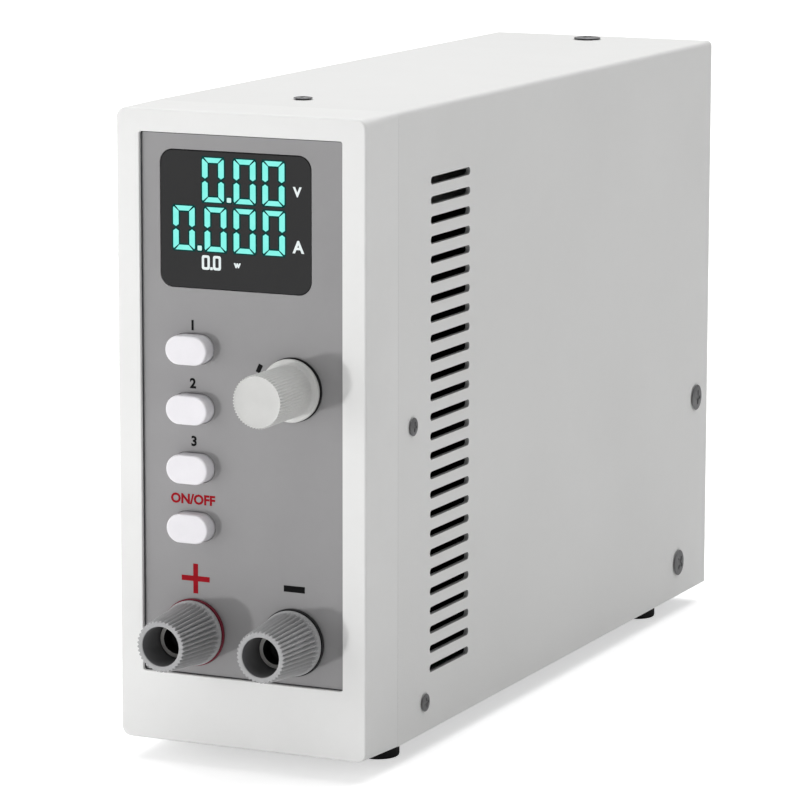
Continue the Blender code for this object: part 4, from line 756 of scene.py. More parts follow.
def powder_coat_group():
    """Height of a sprayed powder coat: round orange-peel cells with a finer pitting."""
    tree, given, result = node_group(
        "powder_coat", [("Cell Scale", "Float", 1300.0)], [("Height", "Float")])
    place = own_place(tree)
    cells = tree.nodes.new("ShaderNodeTexVoronoi")
    cells.feature = "SMOOTH_F1"
    tree.links.new(place, cells.inputs["Vector"])
    tree.links.new(given.outputs["Cell Scale"], cells.inputs["Scale"])
    pits = noise(tree, place, given.outputs["Cell Scale"], 2.0)
    height = maths(tree, "ADD", cells.outputs["Distance"], maths(tree, "MULTIPLY", pits, 0.6))
    tree.links.new(height, result.inputs["Height"])
    return tree


def edge_highlight_group():
    """A mask along the piece's outer edges, broken up by noise, for the painted edge highlights."""
    tree, given, result = node_group(
        "edge_highlight", [("Width", "Float", 0.0004), ("Strength", "Float", 0.5)], [("Mask", "Float")])
    rounded = tree.nodes.new("ShaderNodeBevel")
    rounded.samples = 4
    tree.links.new(given.outputs["Width"], rounded.inputs["Radius"])
    geometry = tree.nodes.new("ShaderNodeNewGeometry")
    alike = tree.nodes.new("ShaderNodeVectorMath")
    alike.operation = "DOT_PRODUCT"
    tree.links.new(rounded.outputs["Normal"], alike.inputs[0])
    tree.links.new(geometry.outputs["Normal"], alike.inputs[1])
    edge = remapped(tree, alike.outputs["Value"], 1.0, 0.86)
    broken = remapped(tree, noise(tree, own_place(tree), 900.0, 3.0), 0.3, 0.6)
    mask = maths(tree, "MULTIPLY", maths(tree, "MULTIPLY", edge, broken), given.outputs["Strength"])
    tree.links.new(mask, result.inputs["Mask"])
    return tree


def brushed_group():
    """Height and mask of fine rolling marks along one direction of the sheet."""
    tree, given, result = node_group("brushed", [("Direction", "Vector", (40.0, 40.0, 3000.0))],
                                     [("Height", "Float"), ("Mask", "Float")])
    node = tree.nodes.new("ShaderNodeVectorMath")
    node.operation = "MULTIPLY"
    tree.links.new(own_place(tree), node.inputs[0])
    tree.links.new(given.outputs["Direction"], node.inputs[1])
    marks = noise(tree, node.outputs["Vector"], 1.0, 4.0, 0.6)
    tree.links.new(marks, result.inputs["Height"])
    tree.links.new(remapped(tree, marks, 0.35, 0.65), result.inputs["Mask"])
    return tree


def spangle_group():
    """Zinc flowers of a galvanised sheet, as a mask of flat cells and their soft edges."""
    tree, given, result = node_group("spangle", [("Cell Scale", "Float", 220.0)], [("Mask", "Float")])
    place = own_place(tree)
    wobble = tree.nodes.new("ShaderNodeTexNoise")
    wobble.inputs["Scale"].default_value = 500.0
    tree.links.new(place, wobble.inputs["Vector"])
    shift = tree.nodes.new("ShaderNodeVectorMath")
    shift.operation = "MULTIPLY_ADD"
    tree.links.new(wobble.outputs["Color"], shift.inputs[0])
    shift.inputs[1].default_value = (0.002, 0.002, 0.002)
    tree.links.new(place, shift.inputs[2])
    cells = tree.nodes.new("ShaderNodeTexVoronoi")
    tree.links.new(shift.outputs["Vector"], cells.inputs["Vector"])
    tree.links.new(given.outputs["Cell Scale"], cells.inputs["Scale"])
    parts = tree.nodes.new("ShaderNodeSeparateColor")
    tree.links.new(cells.outputs["Color"], parts.inputs["Color"])
    tree.links.new(parts.outputs["Red"], result.inputs["Mask"])
    return tree


GROUPS = {"tone": surface_tone_group(), "grain": moulded_grain_group(), "powder": powder_coat_group(),
          "edge": edge_highlight_group(), "brushed": brushed_group(), "spangle": spangle_group()}


def grouped(tree, name, **values):
    """A group node with its inputs set; underscores in the names stand for spaces."""
    node = tree.nodes.new("ShaderNodeGroup")
    node.node_tree = GROUPS[name]
    for socket, value in values.items():
        node.inputs[socket.replace("_", " ")].default_value = value
    return node.outputs


def two_tones(tree, colour, second, patch, roughness, spread):
    return grouped(tree, "tone", Colour=linear(colour), Second_Colour=linear(second), Patch_Scale=patch,
                   Roughness=roughness, Roughness_Spread=spread)


def edge_tinted(tree, base, colour, width, strength):
    """The base colour, shifted to the edge colour along the piece's outer edges: a painted highlight where
    the edge colour is lighter; the screw heads' darker edge colour makes their edges darker.
    """
    edge_band = grouped(tree, "edge", Width=width, Strength=strength)
    return blended(tree, edge_band["Mask"], base, linear(colour))


def bumped(tree, height, strength, distance):
    node = tree.nodes.new("ShaderNodeBump")
    node.inputs["Strength"].default_value = strength
    node.inputs["Distance"].default_value = distance
    tree.links.new(height, node.inputs["Height"])
    return node.outputs["Normal"]


def blank_material(name, **sockets):
    material = bpy.data.materials.new(name)
    material.use_nodes = True
    shader = material.node_tree.nodes["Principled BSDF"]
    for socket, value in sockets.items():
        shader.inputs[socket.replace("_", " ")].default_value = value
    return material, material.node_tree, shader


def plastic(name, colour, second, roughness, spread=0.12, grain=3200.0, bump=0.35, edge=None, patch=60.0,
            **sockets):
    """Moulded plastic in two close tones with a spark-eroded grain, and a painted highlight of the edge
    colour along its edges.
    """
    material, tree, shader = blank_material(name, **sockets)
    tone = two_tones(tree, colour, second, patch, roughness, spread)
    base = edge_tinted(tree, tone["Colour"], edge, 0.0004, 0.6) if edge else tone["Colour"]
    tree.links.new(base, shader.inputs["Base Color"])
    tree.links.new(tone["Roughness"], shader.inputs["Roughness"])
    height = grouped(tree, "grain", Grain_Scale=grain, Waviness=0.3)["Height"]
    tree.links.new(bumped(tree, height, bump, 0.00003), shader.inputs["Normal"])
    return material


def powder_paint(name, colour, second, edge):
    material, tree, shader = blank_material(name, Specular_IOR_Level=0.4)
    tone = two_tones(tree, colour, second, 22.0, 0.52, 0.12)
    coat = grouped(tree, "powder", Cell_Scale=1500.0)
    # The lighter edge colour is a painted highlight along the outer edges.
    tree.links.new(edge_tinted(tree, tone["Colour"], edge, 0.0005, 0.5), shader.inputs["Base Color"])
    tree.links.new(tone["Roughness"], shader.inputs["Roughness"])
    tree.links.new(bumped(tree, coat["Height"], 0.35, 0.00004), shader.inputs["Normal"])
    return material


def metal(name, colour, second, roughness, direction, bump=0.15, cells=None, edge=None):
    """Bare or plated metal with rolling or turning marks, and zinc flowers where cells are given."""
    material, tree, shader = blank_material(name, Metallic=1.0)
    marks = grouped(tree, "brushed", Direction=direction)
    tone = two_tones(tree, colour, second, 90.0, roughness, 0.2)
    base = tone["Colour"]
    if cells:
        flowers = grouped(tree, "spangle", Cell_Scale=cells)
        base = blended(tree, flowers["Mask"], base, linear(second))
    # A lighter edge colour paints a highlight along the outer edges; the screw heads' darker one makes their
    # edges darker.
    if edge:
        base = edge_tinted(tree, base, edge, 0.0003, 0.7)
    tree.links.new(base, shader.inputs["Base Color"])
    rough = maths(tree, "ADD", tone["Roughness"], maths(tree, "MULTIPLY", marks["Mask"], 0.1))
    tree.links.new(rough, shader.inputs["Roughness"])
    tree.links.new(bumped(tree, marks["Height"], bump, 0.00002), shader.inputs["Normal"])
    return material


def ink(name, colour, second):
    """Screen-printed ink with slightly uneven cover."""
    return plastic(name, colour, second, 0.7, 0.1, 5200.0, 0.2, None, 700.0, Specular_IOR_Level=0.2)


def glowing(name, colour, second, scale, gloss=0.5):
    """Lit display elements, a little uneven from edge to edge."""
    material, tree, shader = blank_material(name, Base_Color=(0, 0, 0, 1), Specular_IOR_Level=gloss)
    shader.inputs["Emission Strength"].default_value = 1.0
    tone = two_tones(tree, colour, second, scale, 0.4, 0.1)
    tree.links.new(tone["Colour"], shader.inputs["Emission Color"])
    tree.links.new(tone["Roughness"], shader.inputs["Roughness"])
    return material


def smoked_pane(name):
    """Dark tinted acrylic, polished, with a faint haze."""
    material, tree, shader = blank_material(name, IOR=1.49)
    tone = two_tones(tree, "151516", "1B1B1C", 40.0, 0.08, 0.03)
    tree.links.new(tone["Colour"], shader.inputs["Base Color"])
    tree.links.new(tone["Roughness"], shader.inputs["Roughness"])
    height = grouped(tree, "grain", Grain_Scale=260.0, Waviness=0.6)["Height"]
    tree.links.new(bumped(tree, height, 0.03, 0.00002), shader.inputs["Normal"])
    return material


ALONG_X_MARKS = (30.0, 2600.0, 2600.0)
ALONG_Y_MARKS = (2600.0, 30.0, 2600.0)
ALONG_Z_MARKS = (2600.0, 2600.0, 30.0)

# The edge colours below are painted highlights along the pieces' outer edges; the screw heads' edge colour
# makes their edges darker.
white_plastic = plastic("white_moulded_plastic", "F0F0EF", "EBEBEA", 0.50, edge="F5F5F4", patch=30.0)
button_white = plastic("white_button_plastic", "F2F0F4", "ECEAEE", 0.40, edge="FAFAFC", patch=140.0)
panel_grey = plastic("grey_panel_lacquer", "9B9A9B", "969596", 0.58, grain=2600.0, bump=0.5, patch=35.0)
knob_grey = plastic("grey_knob_plastic", "D6D6D4", "CFCFCD", 0.48, edge="EDEDEB", patch=160.0)
post_grey = plastic("grey_post_plastic", "B2B2B3", "A8A8A9", 0.50, edge="C6C6C7", patch=200.0)
bore_dark = plastic("dark_bore_plastic", "7A7A7C", "6E6E70", 0.5, patch=200.0)
socket_black = plastic("black_socket_liner", "0A0A0B", "111112", 0.6, patch=200.0)
# Painted shade for the strip round the panel's edge in the bezel's opening
opening_shade_grey = plastic("painted_opening_shade", "4C4C4E", "444446", 0.6, patch=200.0)
# Painted shadow for the ring round the knob's skirt
knob_gap_shade_black = plastic("painted_knob_gap_shade", "161617", "1D1D1E", 0.6, patch=200.0)
collar_red = plastic("red_collar_plastic", "7A0F2A", "6A0C22", 0.42, edge="8E1A38", patch=200.0)
collar_black = plastic("black_collar_plastic", "121214", "19191B", 0.45, edge="2A2A2C", patch=200.0)
black_plastic = plastic("black_moulded_plastic", "1A1A1C", "222224", 0.45, edge="343436", patch=70.0)
foot_rubber = plastic("black_rubber", "08080A", "0C0C0E", 0.72, grain=1800.0, bump=0.6, patch=220.0)
lead_red = plastic("red_lead_sleeve", "9C1A24", "861520", 0.4, patch=120.0)
lead_black = plastic("black_lead_sleeve", "18181A", "222224", 0.4, patch=120.0)
board_green = plastic("green_solder_mask", "1E5A38", "174B2F", 0.3, grain=1400.0, patch=90.0)
capacitor_sleeve = plastic("capacitor_sleeve", "20242C", "2A2F38", 0.3, patch=60.0)
winding_tape = plastic("winding_tape", "C08A2A", "AC7A22", 0.35, patch=120.0)
# Darker grey for the cover's slot walls and its front end at the bezel: painted shade.
slot_shade_paint = powder_paint("painted_slot_shade", "A2A2A2", "969696", "B4B4B4")
cover_paint = powder_paint("white_powder_coat", "ECECEB", "E9E9E8", "F3F3F2")
window_smoke = smoked_pane("smoked_acrylic")
zinc = metal("galvanised_sheet", "B4B8BC", "9CA1A6", 0.36, ALONG_X_MARKS, cells=260.0, edge="D2D5D8")
nickel = metal("nickel_plate", "D2D1CE", "C6C4C0", 0.30, ALONG_X_MARKS, bump=0.06)
satin_nickel = plastic("satin_nickel_plate", "E2E1DE", "D8D6D2", 0.52, patch=120.0, Metallic=0.3)
brass = metal("brass", "C9A557", "B08C42", 0.3, ALONG_X_MARKS)
steel = metal("plain_steel", "A9ABAD", "8F9193", 0.32, ALONG_Y_MARKS)
anodised = metal("black_anodised_aluminium", "26262A", "1E1E21", 0.5, ALONG_Y_MARKS, edge="3A3A3E")
core_iron = metal("core_laminations", "55524E", "3E3B38", 0.55, ALONG_Z_MARKS)
screw_black = metal("blackened_screw_steel", "8A8A8B", "727273", 0.5, ALONG_Z_MARKS, bump=0.1, edge="5A5A5B")
ink_black = ink("black_ink", "070708", "0E0E0F")
ink_red = ink("red_ink", "A01020", "920E1B")
glow_turquoise = glowing("lit_turquoise", "8FF8EE", "78F2E4", 420.0)
glow_pale = glowing("lit_pale_turquoise", "D4F6F2", "BDEEE8", 600.0)
glow_dim = glowing("turquoise_halo", "0C4643", "083836", 700.0, 0.0)
glow_white = glowing("lit_white", "F4FAFA", "DCE8E8", 600.0)


# Front pieces


def front_bezel():
    middle = (0, CASE_HEIGHT / 2)

    def shell(inset, radius):
        size = (CASE_WIDTH - 2 * inset, CASE_HEIGHT - 2 * inset)
        return rounded_rectangle(*size, radius, CORNER_STEPS, middle)

    def opening(grow, radius):
        size = (OPENING_WIDTH + 2 * grow, OPENING_HEIGHT + 2 * grow)
        return rounded_rectangle(*size, radius, CORNER_STEPS, OPENING_CENTRE)

    above, below = shell(0, FOLD_RADIUS), shell(0, BEZEL_REAR_CORNER)
    back = [high if high[1] > middle[1] else low for high, low in zip(above, below)]
    tongue = shell(BEZEL_TONGUE_INSET, BEZEL_CORNER / 2)
    inner = shell(BEZEL_WALL, BEZEL_CORNER / 2)
    rebate = opening(REBATE, PANEL_CORNER)
    layers = []
    for inset, drop in reversed(rounding(BEZEL_EDGE, BEZEL_EDGE_STEPS)):
        layers.append((shell(inset, BEZEL_CORNER - inset), -drop))
    layers += [
        (back, -BEZEL_DEPTH),
        (tongue, -BEZEL_DEPTH),
        (tongue, -BEZEL_BACK),
        (inner, -BEZEL_BACK),
        (inner, -BEZEL_FRONT_WALL),
        (rebate, -BEZEL_FRONT_WALL),
        (rebate, -BEZEL_LIP),
        (opening(0, OPENING_CORNER), -BEZEL_LIP),
    ]
    for inset, drop in rounding(OPENING_EDGE, 3):
        layers.append((opening(inset, OPENING_CORNER + inset), -drop))
    shape = stacks("front_bezel", layers, ring=True)
    bosses = []
    for side in (1, -1):
        centre = (side * BOSS_SPREAD, BOSS_HEIGHT)
        wall, bore = (circle(radius, BOSS_SIDES, centre) for radius in (BOSS_RADIUS, BOSS_BORE))
        bosses.append([(wall, -BEZEL_FRONT_WALL), (wall, -BEZEL_BACK), (bore, -BEZEL_BACK),
                       (bore, BOSS_BORE_DEPTH - BEZEL_BACK)])
    whole = merged("front_bezel", [shape, stacks("bosses", *bosses)])
    piece("bezel_frame", whole, FRONT_FRAME, "case", white_plastic, ("front_bezel",))


def pillar_places():
    return [(side * PILLAR_SPREAD, height) for side in (1, -1) for height in PILLAR_HEIGHTS]


def front_panel():
    width = PANEL_HIGH.x - PANEL_LOW.x
    height = PANEL_HIGH.y - PANEL_LOW.y
    outline = rounded_rectangle(width, height, PANEL_CORNER, 6, OPENING_CENTRE)
    blank = prisms("front_panel", [outline], PANEL_BACK, PANEL_FACE)
    fit = 2 * NEAT_FIT
    holes = [rounded_rectangle(WINDOW_WIDTH + fit, WINDOW_HEIGHT + fit, WINDOW_CORNER + NEAT_FIT,
                               CORNER_STEPS, WINDOW_CENTRE),
             circle(BUSH_HOLE, HOLE_SIDES, front_centre("knob"))]
    for name in BUTTON_NAMES:
        length, width = button_size(name)
        holes.append(stadium(length + fit, width + fit, BUTTON_STEPS, front_centre(name)))
    for name in POST_NAMES:
        holes.append(circle(BOSS_HOLE, HOLE_SIDES, front_centre(f"{name}_post_collar")))
    mesh = carve(blank, prisms("holes", holes, PANEL_BACK - CUT_MARGIN, PANEL_FACE + CUT_MARGIN))
    pillars = [circle(PILLAR_RADIUS, PILLAR_SIDES, centre) for centre in pillar_places()]
    whole = merged("front_panel", [mesh, prisms("pillars", pillars, PANEL_LOW.z, PANEL_BACK)])
    piece("panel_plate", whole, FRONT_FRAME, "case", panel_grey, ("front_panel",), FINE_EDGE)


def opening_shade_strip():
    """A thin grey strip round the panel's edge in the bezel's opening: painted shade in the corner between
    the panel and the bezel.
    """
    width, height = OPENING_WIDTH - 2 * OPENING_FIT, OPENING_HEIGHT - 2 * OPENING_FIT
    outer, inner = (rounded_rectangle(width - 2 * inset, height - 2 * inset, OPENING_CORNER - inset,
                                      PRINT_STEPS, OPENING_CENTRE) for inset in (0, OPENING_SHADE_WIDTH))
    top = PANEL_FACE + OPENING_SHADE_HEIGHT
    layers = [(inner, PANEL_FACE), (outer, PANEL_FACE), (outer, top), (inner, top)]
    strip_mesh = stacks("opening_shade_strip", layers, ring=True)
    piece("opening_shade_strip", strip_mesh, FRONT_FRAME, "case", opening_shade_grey)


def printed(name, mesh, material):
    piece(name, mesh, FRONT_FRAME, "case", material)


def panel_signs():
    low, high = PANEL_FACE - PRINT_DEPTH, PANEL_FACE + PRINT_HEIGHT
    black, red = [], []
    for words, centre in BUTTON_LABELS:
        target = red if len(words) > 1 else black
        target.append(text_mesh(words, centre, LABEL_HEIGHT, LABEL_BOLDNESS, low, high))
    x, y = PLUS_CENTRE
    width, height = PLUS_SIZE
    half = PLUS_BAR / 2
    right, top = width / 2, height / 2
    corners = ((right, -half), (right, half), (half, half), (half, top), (-half, top), (-half, half),
               (-right, half), (-right, -half), (-half, -half), (-half, -top), (half, -top), (half, -half))
    red.append(prisms("plus", [[(x + across, y + up) for across, up in corners]], low, high))
    left, right, bottom, top = MINUS
    black.append(prisms("minus", [rectangle(left, bottom, right, top)], low, high))
    black.append(prisms("knob_tick", [bar_outline(*TICK_ENDS, TICK_WIDTH)], low, high))
    printed("black_print", merged("black_print", black), ink_black)
    printed("red_print", merged("red_print", red), ink_red)


def window_pane():
    def outline(grow):
        size = (WINDOW_WIDTH + 2 * grow, WINDOW_HEIGHT + 2 * grow)
        return rounded_rectangle(*size, WINDOW_CORNER + grow, CORNER_STEPS, WINDOW_CENTRE)

    behind = PANEL_BACK - CLEARANCE
    layers = [(outline(WINDOW_FLANGE), WINDOW_LOW.z), (outline(WINDOW_FLANGE), behind), (outline(0), behind)]
    for inset, drop in rounding(WINDOW_EDGE, 3):
        layers.append((outline(-inset), PANEL_FACE - drop))
    piece("window_pane", stacks("window_pane", layers), FRONT_FRAME, "case", window_smoke,
          ("display_window",))


def zero_segments(centre):
    """The six lit segments of a seven-segment zero."""
    x, y = centre
    half_width = DIGIT_WIDTH / 2
    half_height = DIGIT_HEIGHT / 2
    segments = []
    for up in (1, -1):
        bar = [(half_width - SEGMENT_GAP - DIGIT_ROUNDING, half_height),
               (-half_width + SEGMENT_GAP + DIGIT_ROUNDING, half_height),
               (UPRIGHT_WIDTH + SEGMENT_GAP - half_width, half_height - BAR_HEIGHT),
               (half_width - UPRIGHT_WIDTH - SEGMENT_GAP, half_height - BAR_HEIGHT)]
        segments.append([(x + px, y + up * py) for px, py in bar])
        for side in (1, -1):
            start = MIDDLE_GAP / 2
            upright = [(half_width - UPRIGHT_WIDTH, start + MIDDLE_BEVEL),
                       (half_width - UPRIGHT_WIDTH / 2, start),
                       (half_width, start + MIDDLE_BEVEL),
                       (half_width, half_height - SEGMENT_GAP - DIGIT_ROUNDING),
                       (half_width - DIGIT_ROUNDING / 2, half_height - SEGMENT_GAP - DIGIT_ROUNDING / 3),
                       (half_width - UPRIGHT_WIDTH, half_height - BAR_HEIGHT - SEGMENT_GAP)]
            segments.append([(x + side * px, y + up * py) for px, py in upright])
    return segments


def display_signs():
    low, high = PANEL_FACE, PANEL_FACE + PRINT_HEIGHT
    digits = []
    for row, places in ((UPPER_ROW, UPPER_DIGITS), (LOWER_ROW, LOWER_DIGITS)):
        for x in places:
            digits += zero_segments((x, row))
    points = [rounded_rectangle(POINT_SIZE, POINT_SIZE, POINT_SIZE / 5, PRINT_STEPS, centre)
              for centre in DECIMAL_POINTS]
    printed("display_digits", prisms("display_digits", digits, low, high), glow_turquoise)
    printed("display_points", prisms("display_points", points, low, high), glow_pale)
    halo = [swollen(outline, HALO_WIDTH) for outline in digits + points]
    printed("display_digit_halo", prisms("display_digit_halo", halo, low, (low + high) / 2), glow_dim)
    figures = []
    width, height = SMALL_FIGURE_SIZE
    for x, y in SMALL_FIGURES:
        outer, inner = (rounded_rectangle(width - 2 * inset, height - 2 * inset, SMALL_CORNER - inset / 2,
                                          PRINT_STEPS, (x, y)) for inset in (0, SMALL_STROKE))
        layers = [(outer, low), (outer, high), (inner, high), (inner, low)]
        figures.append(stacks("small_zero", layers, ring=True))
    centre, size = SMALL_POINT
    signs = figures + [prisms("small_point", [rounded_rectangle(size, size, size / 5, 3, centre)], low, high)]
    for words, centre, size in UNIT_SIGNS:
        signs.append(text_mesh(words, centre, size, UNIT_BOLDNESS, low, high))
    printed("display_unit_signs", merged("display_unit_signs", signs), glow_white)


def button_size(name):
    low, high = front_box(name)
    return high.x - low.x - 2 * BUTTON_FLANGE, high.y - low.y - 2 * BUTTON_FLANGE


def push_buttons():
    behind = PANEL_BACK - CLEARANCE
    flange_back = behind - BUTTON_FLANGE_THICKNESS
    for name in BUTTON_NAMES:
        low, high = front_box(name)
        centre = front_centre(name)
        length, width = button_size(name)

        def oblong(grow):
            return stadium(length + 2 * grow, width + 2 * grow, BUTTON_STEPS, centre)

        stem = stadium_circle(STEM_RADIUS, BUTTON_STEPS, centre)
        layers = [(stem, low.z), (stem, flange_back), (oblong(BUTTON_FLANGE), flange_back),
                  (oblong(BUTTON_FLANGE), behind), (oblong(0), behind)]
        for inset, drop in rounding(BUTTON_EDGE, BUTTON_EDGE_STEPS):
            layers.append((oblong(-inset), high.z - drop))
        piece(f"{name}_cap", stacks(name, layers), FRONT_FRAME, name, button_white, (name,))


def knob():
    low, high = front_box("knob")
    centre = front_centre("knob")
    skirt = (high.x - low.x) / 2
    back, face = low.z, high.z
    skirt_top = back + KNOB_SKIRT
    foot = KNOB_FACE_RADIUS - KNOB_WAIST

    def plain(radius):
        return circle(radius, KNOB_TEETH * KNOB_TOOTH_POINTS)

    def teeth(radius, depth):
        """Teeth of a depth given in shares of the full one."""
        return wavy_circle(radius, KNOB_TOOTH_DEPTH * depth, KNOB_TEETH, KNOB_TOOTH_POINTS)

    bush_end, nut_end = back + BUSH_ROOM_DEPTH, back + NUT_ROOM_DEPTH
    layers = [(plain(radius), z) for radius, z in (
        (SHAFT_ROOM, face - SHAFT_ROOM_ROOF), (SHAFT_ROOM, bush_end), (BUSH_ROOM, bush_end),
        (BUSH_ROOM, nut_end), (NUT_ROOM, nut_end), (NUT_ROOM, back), (skirt - MOULDED_EDGE, back),
        (skirt, back + MOULDED_EDGE))]
    layers += [(plain(skirt - inset), skirt_top - drop) for inset, drop in rounding(KNOB_LIP, 4)]
    sweep = skirt - KNOB_LIP - foot
    for i in range(1, KNOB_FILLET_STEPS + 1):
        share = i / KNOB_FILLET_STEPS
        radius = foot + sweep * (1 - sin(pi / 2 * share))
        z = skirt_top + KNOB_FILLET * (1 - cos(pi / 2 * share))
        layers.append((teeth(radius, share * KNOB_TEETH_ROOT), z))
    top = KNOB_FACE_RADIUS
    layers += [(teeth((foot + top) / 2, KNOB_TEETH_ROOT), face - (face - skirt_top) * KNOB_RIB_RUN),
               (teeth(top, KNOB_TEETH_SHOULDER), face - 3 * KNOB_EDGE),
               (teeth(top, 1), face - KNOB_EDGE)]
    for inset, drop in rounding(KNOB_EDGE, 4)[1:]:
        layers.append((teeth(top - inset, 1 - KNOB_TEETH_FADE * inset / KNOB_EDGE), face - drop))
    layers += [(plain(top - KNOB_EDGE - KNOB_DISH_RIM), face - KNOB_DISH / 3),
               (plain(top - KNOB_EDGE - KNOB_DISH_FLOOR), face - KNOB_DISH),
               (plain(top / 2), face - KNOB_DISH)]
    place = FRONT_FRAME @ Matrix.Translation((*centre, 0))
    piece("knob_grip", stacks("knob_grip", layers), place, "knob", knob_grey, ("knob",))
    # A thin black ring on the panel round the skirt: painted shadow of the gap behind the knob.
    room, rim, top = NUT_ROOM + CLEARANCE, skirt + KNOB_SHADE_RING_BORDER, PANEL_FACE + KNOB_SHADE_RING_HEIGHT
    profile = [(room, PANEL_FACE), (rim, PANEL_FACE), (rim, top), (room, top)]
    washer = turned("knob_shade_ring_mesh", profile, COLLAR_SIDES, ring=True)
    piece("knob_shade_ring", washer, place, "case", knob_gap_shade_black)


def binding_post(name, collar_material):
    collar_low, collar_high = front_box(f"{name}_post_collar")
    cap_low, cap_high = front_box(f"{name}_post_cap")
    stud_low, stud_high = front_box(f"{name}_post_stud")
    place = FRONT_FRAME @ Matrix.Translation((*front_centre(f"{name}_post_collar"), 0))
    radius = (collar_high.x - collar_low.x) / 2
    face_back = PANEL_FACE + CLEARANCE
    profile = [(COLLAR_HOLE, PANEL_BACK), (COLLAR_BOSS, PANEL_BACK), (COLLAR_BOSS, face_back),
               (radius, face_back)]
    profile += [(radius - inset, collar_high.z - drop) for inset, drop in rounding(MOULDED_EDGE, 3)]
    profile.append((COLLAR_HOLE, collar_high.z))
    collar = turned("collar", profile, COLLAR_SIDES, ring=True)
    piece(f"{name}_collar_ring", collar, place, "case", collar_material,
          (f"{name}_post_collar",))

    base = (cap_high.x - cap_low.x) / 2
    back, mouth = cap_low.z, cap_high.z
    band = back + CAP_BAND
    crest = base - CLEARANCE

    def plain(size):
        return circle(size, CAP_RIBS * CAP_RIB_POINTS)

    def ribs(size, depth):
        return ribbed_circle(size, depth, CAP_RIBS, CAP_RIB_POINTS)

    seat = back + WASHER_THICKNESS + CLEARANCE
    room = WASHER_RADIUS + CLEARANCE
    layers = [(plain(size), z) for size, z in (
        (CAP_BORE, seat), (room, seat), (room, back), (base - MOULDED_EDGE, back),
        (base, back + MOULDED_EDGE), (base, band - MOULDED_EDGE), (base - MOULDED_EDGE / 2, band))]
    for i in range(1, CAP_RIB_STEPS + 1):
        share = i / CAP_RIB_STEPS
        radius = crest + (CAP_MOUTH_RADIUS - crest) * share * CAP_RIB_RUN / (mouth - band)
        layers.append((ribs(radius, CAP_RIB_DEPTH * sin(pi / 2 * share)), band + CAP_RIB_RUN * share))
    layers.append((ribs(CAP_MOUTH_RADIUS + CAP_RIM_FLARE, CAP_RIB_DEPTH), mouth - CAP_RIM_RUN))
    for inset, drop in rounding(CAP_RIM_EDGE, 4):
        depth = CAP_RIM_RIB_DEPTH * (1 - CAP_RIM_FADE * inset / CAP_RIM_EDGE)
        layers.append((ribs(CAP_MOUTH_RADIUS - inset, depth), mouth - drop))
    for inset, drop in reversed(rounding(CAP_RIM_EDGE, 3)):
        layers.append((plain(CAP_BORE + inset), mouth - drop))
    cap = piece(f"{name}_ribbed_cap", stacks("cap", layers, ring=True), place, f"{name}_post_cap", post_grey,
                (f"{name}_post_cap",))
    paint_faces(cap.data, bore_dark, lambda centre: beyond(centre, place) < CAP_BORE + CLEARANCE / 3)

    stud(name, place, stud_low, stud_high, back)
    washer = [(CAP_BORE, back), (WASHER_RADIUS, back), (WASHER_RADIUS, back + WASHER_THICKNESS),
              (CAP_BORE, back + WASHER_THICKNESS)]
    body = f"{name}_post_washer"
    piece(f"{name}_spring_washer", turned("washer", washer, WHEEL_SIDES, ring=True), place, body, nickel,
          (body,), FINE_EDGE)


def beyond(point, place):
    """Distance of a point from the axis of a turned front piece."""
    out = point - place.translation
    return Vector((out.x, out.z)).length


def paint_faces(mesh, material, chosen):
    """A second material on the faces whose middles are chosen."""
    mesh.materials.append(material)
    for face in mesh.polygons:
        if chosen(face.center):
            face.material_index = 1


def stud(name, place, low, high, shoulder):
    """The post's metal tube with its outside thread, its stepped bore and its tail."""
    shape = bmesh.new()
    start, end = shoulder, high.z
    rows = int((end - start) / THREAD_PITCH * THREAD_ROWS)
    loops = [[(x, y, z) for x, y in circle(STUD_RADIUS, STUD_SIDES)] for z in (low.z, start)]
    for row in range(rows + 1):
        z = start + (end - start) * row / rows
        fade = min(1.0, (end - z) / (THREAD_PITCH / 2), (z - start) / (THREAD_PITCH / 2))
        loop = []
        for i in range(STUD_SIDES):
            turn = i / STUD_SIDES
            phase = z / THREAD_PITCH - turn
            depth = THREAD_DEPTH * abs(2 * (phase - floor(phase)) - 1) * fade
            radius = TUBE_RADIUS - depth if 0 < row < rows else TUBE_RADIUS - THREAD_DEPTH / 2
            loop.append((radius * cos(2 * pi * turn), radius * sin(2 * pi * turn), z))
        loops.append(loop)
    step, bottom = end - SOCKET_BORE_DEPTH, end - CONTACT_BORE_DEPTH
    for radius, z in ((SOCKET_BORE, end), (SOCKET_BORE, step), (CONTACT_BORE, step), (CONTACT_BORE, bottom)):
        loops.append([(x, y, z) for x, y in circle(radius, STUD_SIDES)])
    skin(shape, loops)
    tube = piece(f"{name}_threaded_stud", mesh_of("stud", shape), place, "case", satin_nickel,
                 (f"{name}_post_stud",))

    def in_socket(centre):
        inside = bottom - FINE_EDGE < FRONT_Y - centre.y < end - FINE_EDGE
        return inside and beyond(centre, place) < SOCKET_BORE + FINE_EDGE

    paint_faces(tube.data, socket_black, in_socket)


# Case


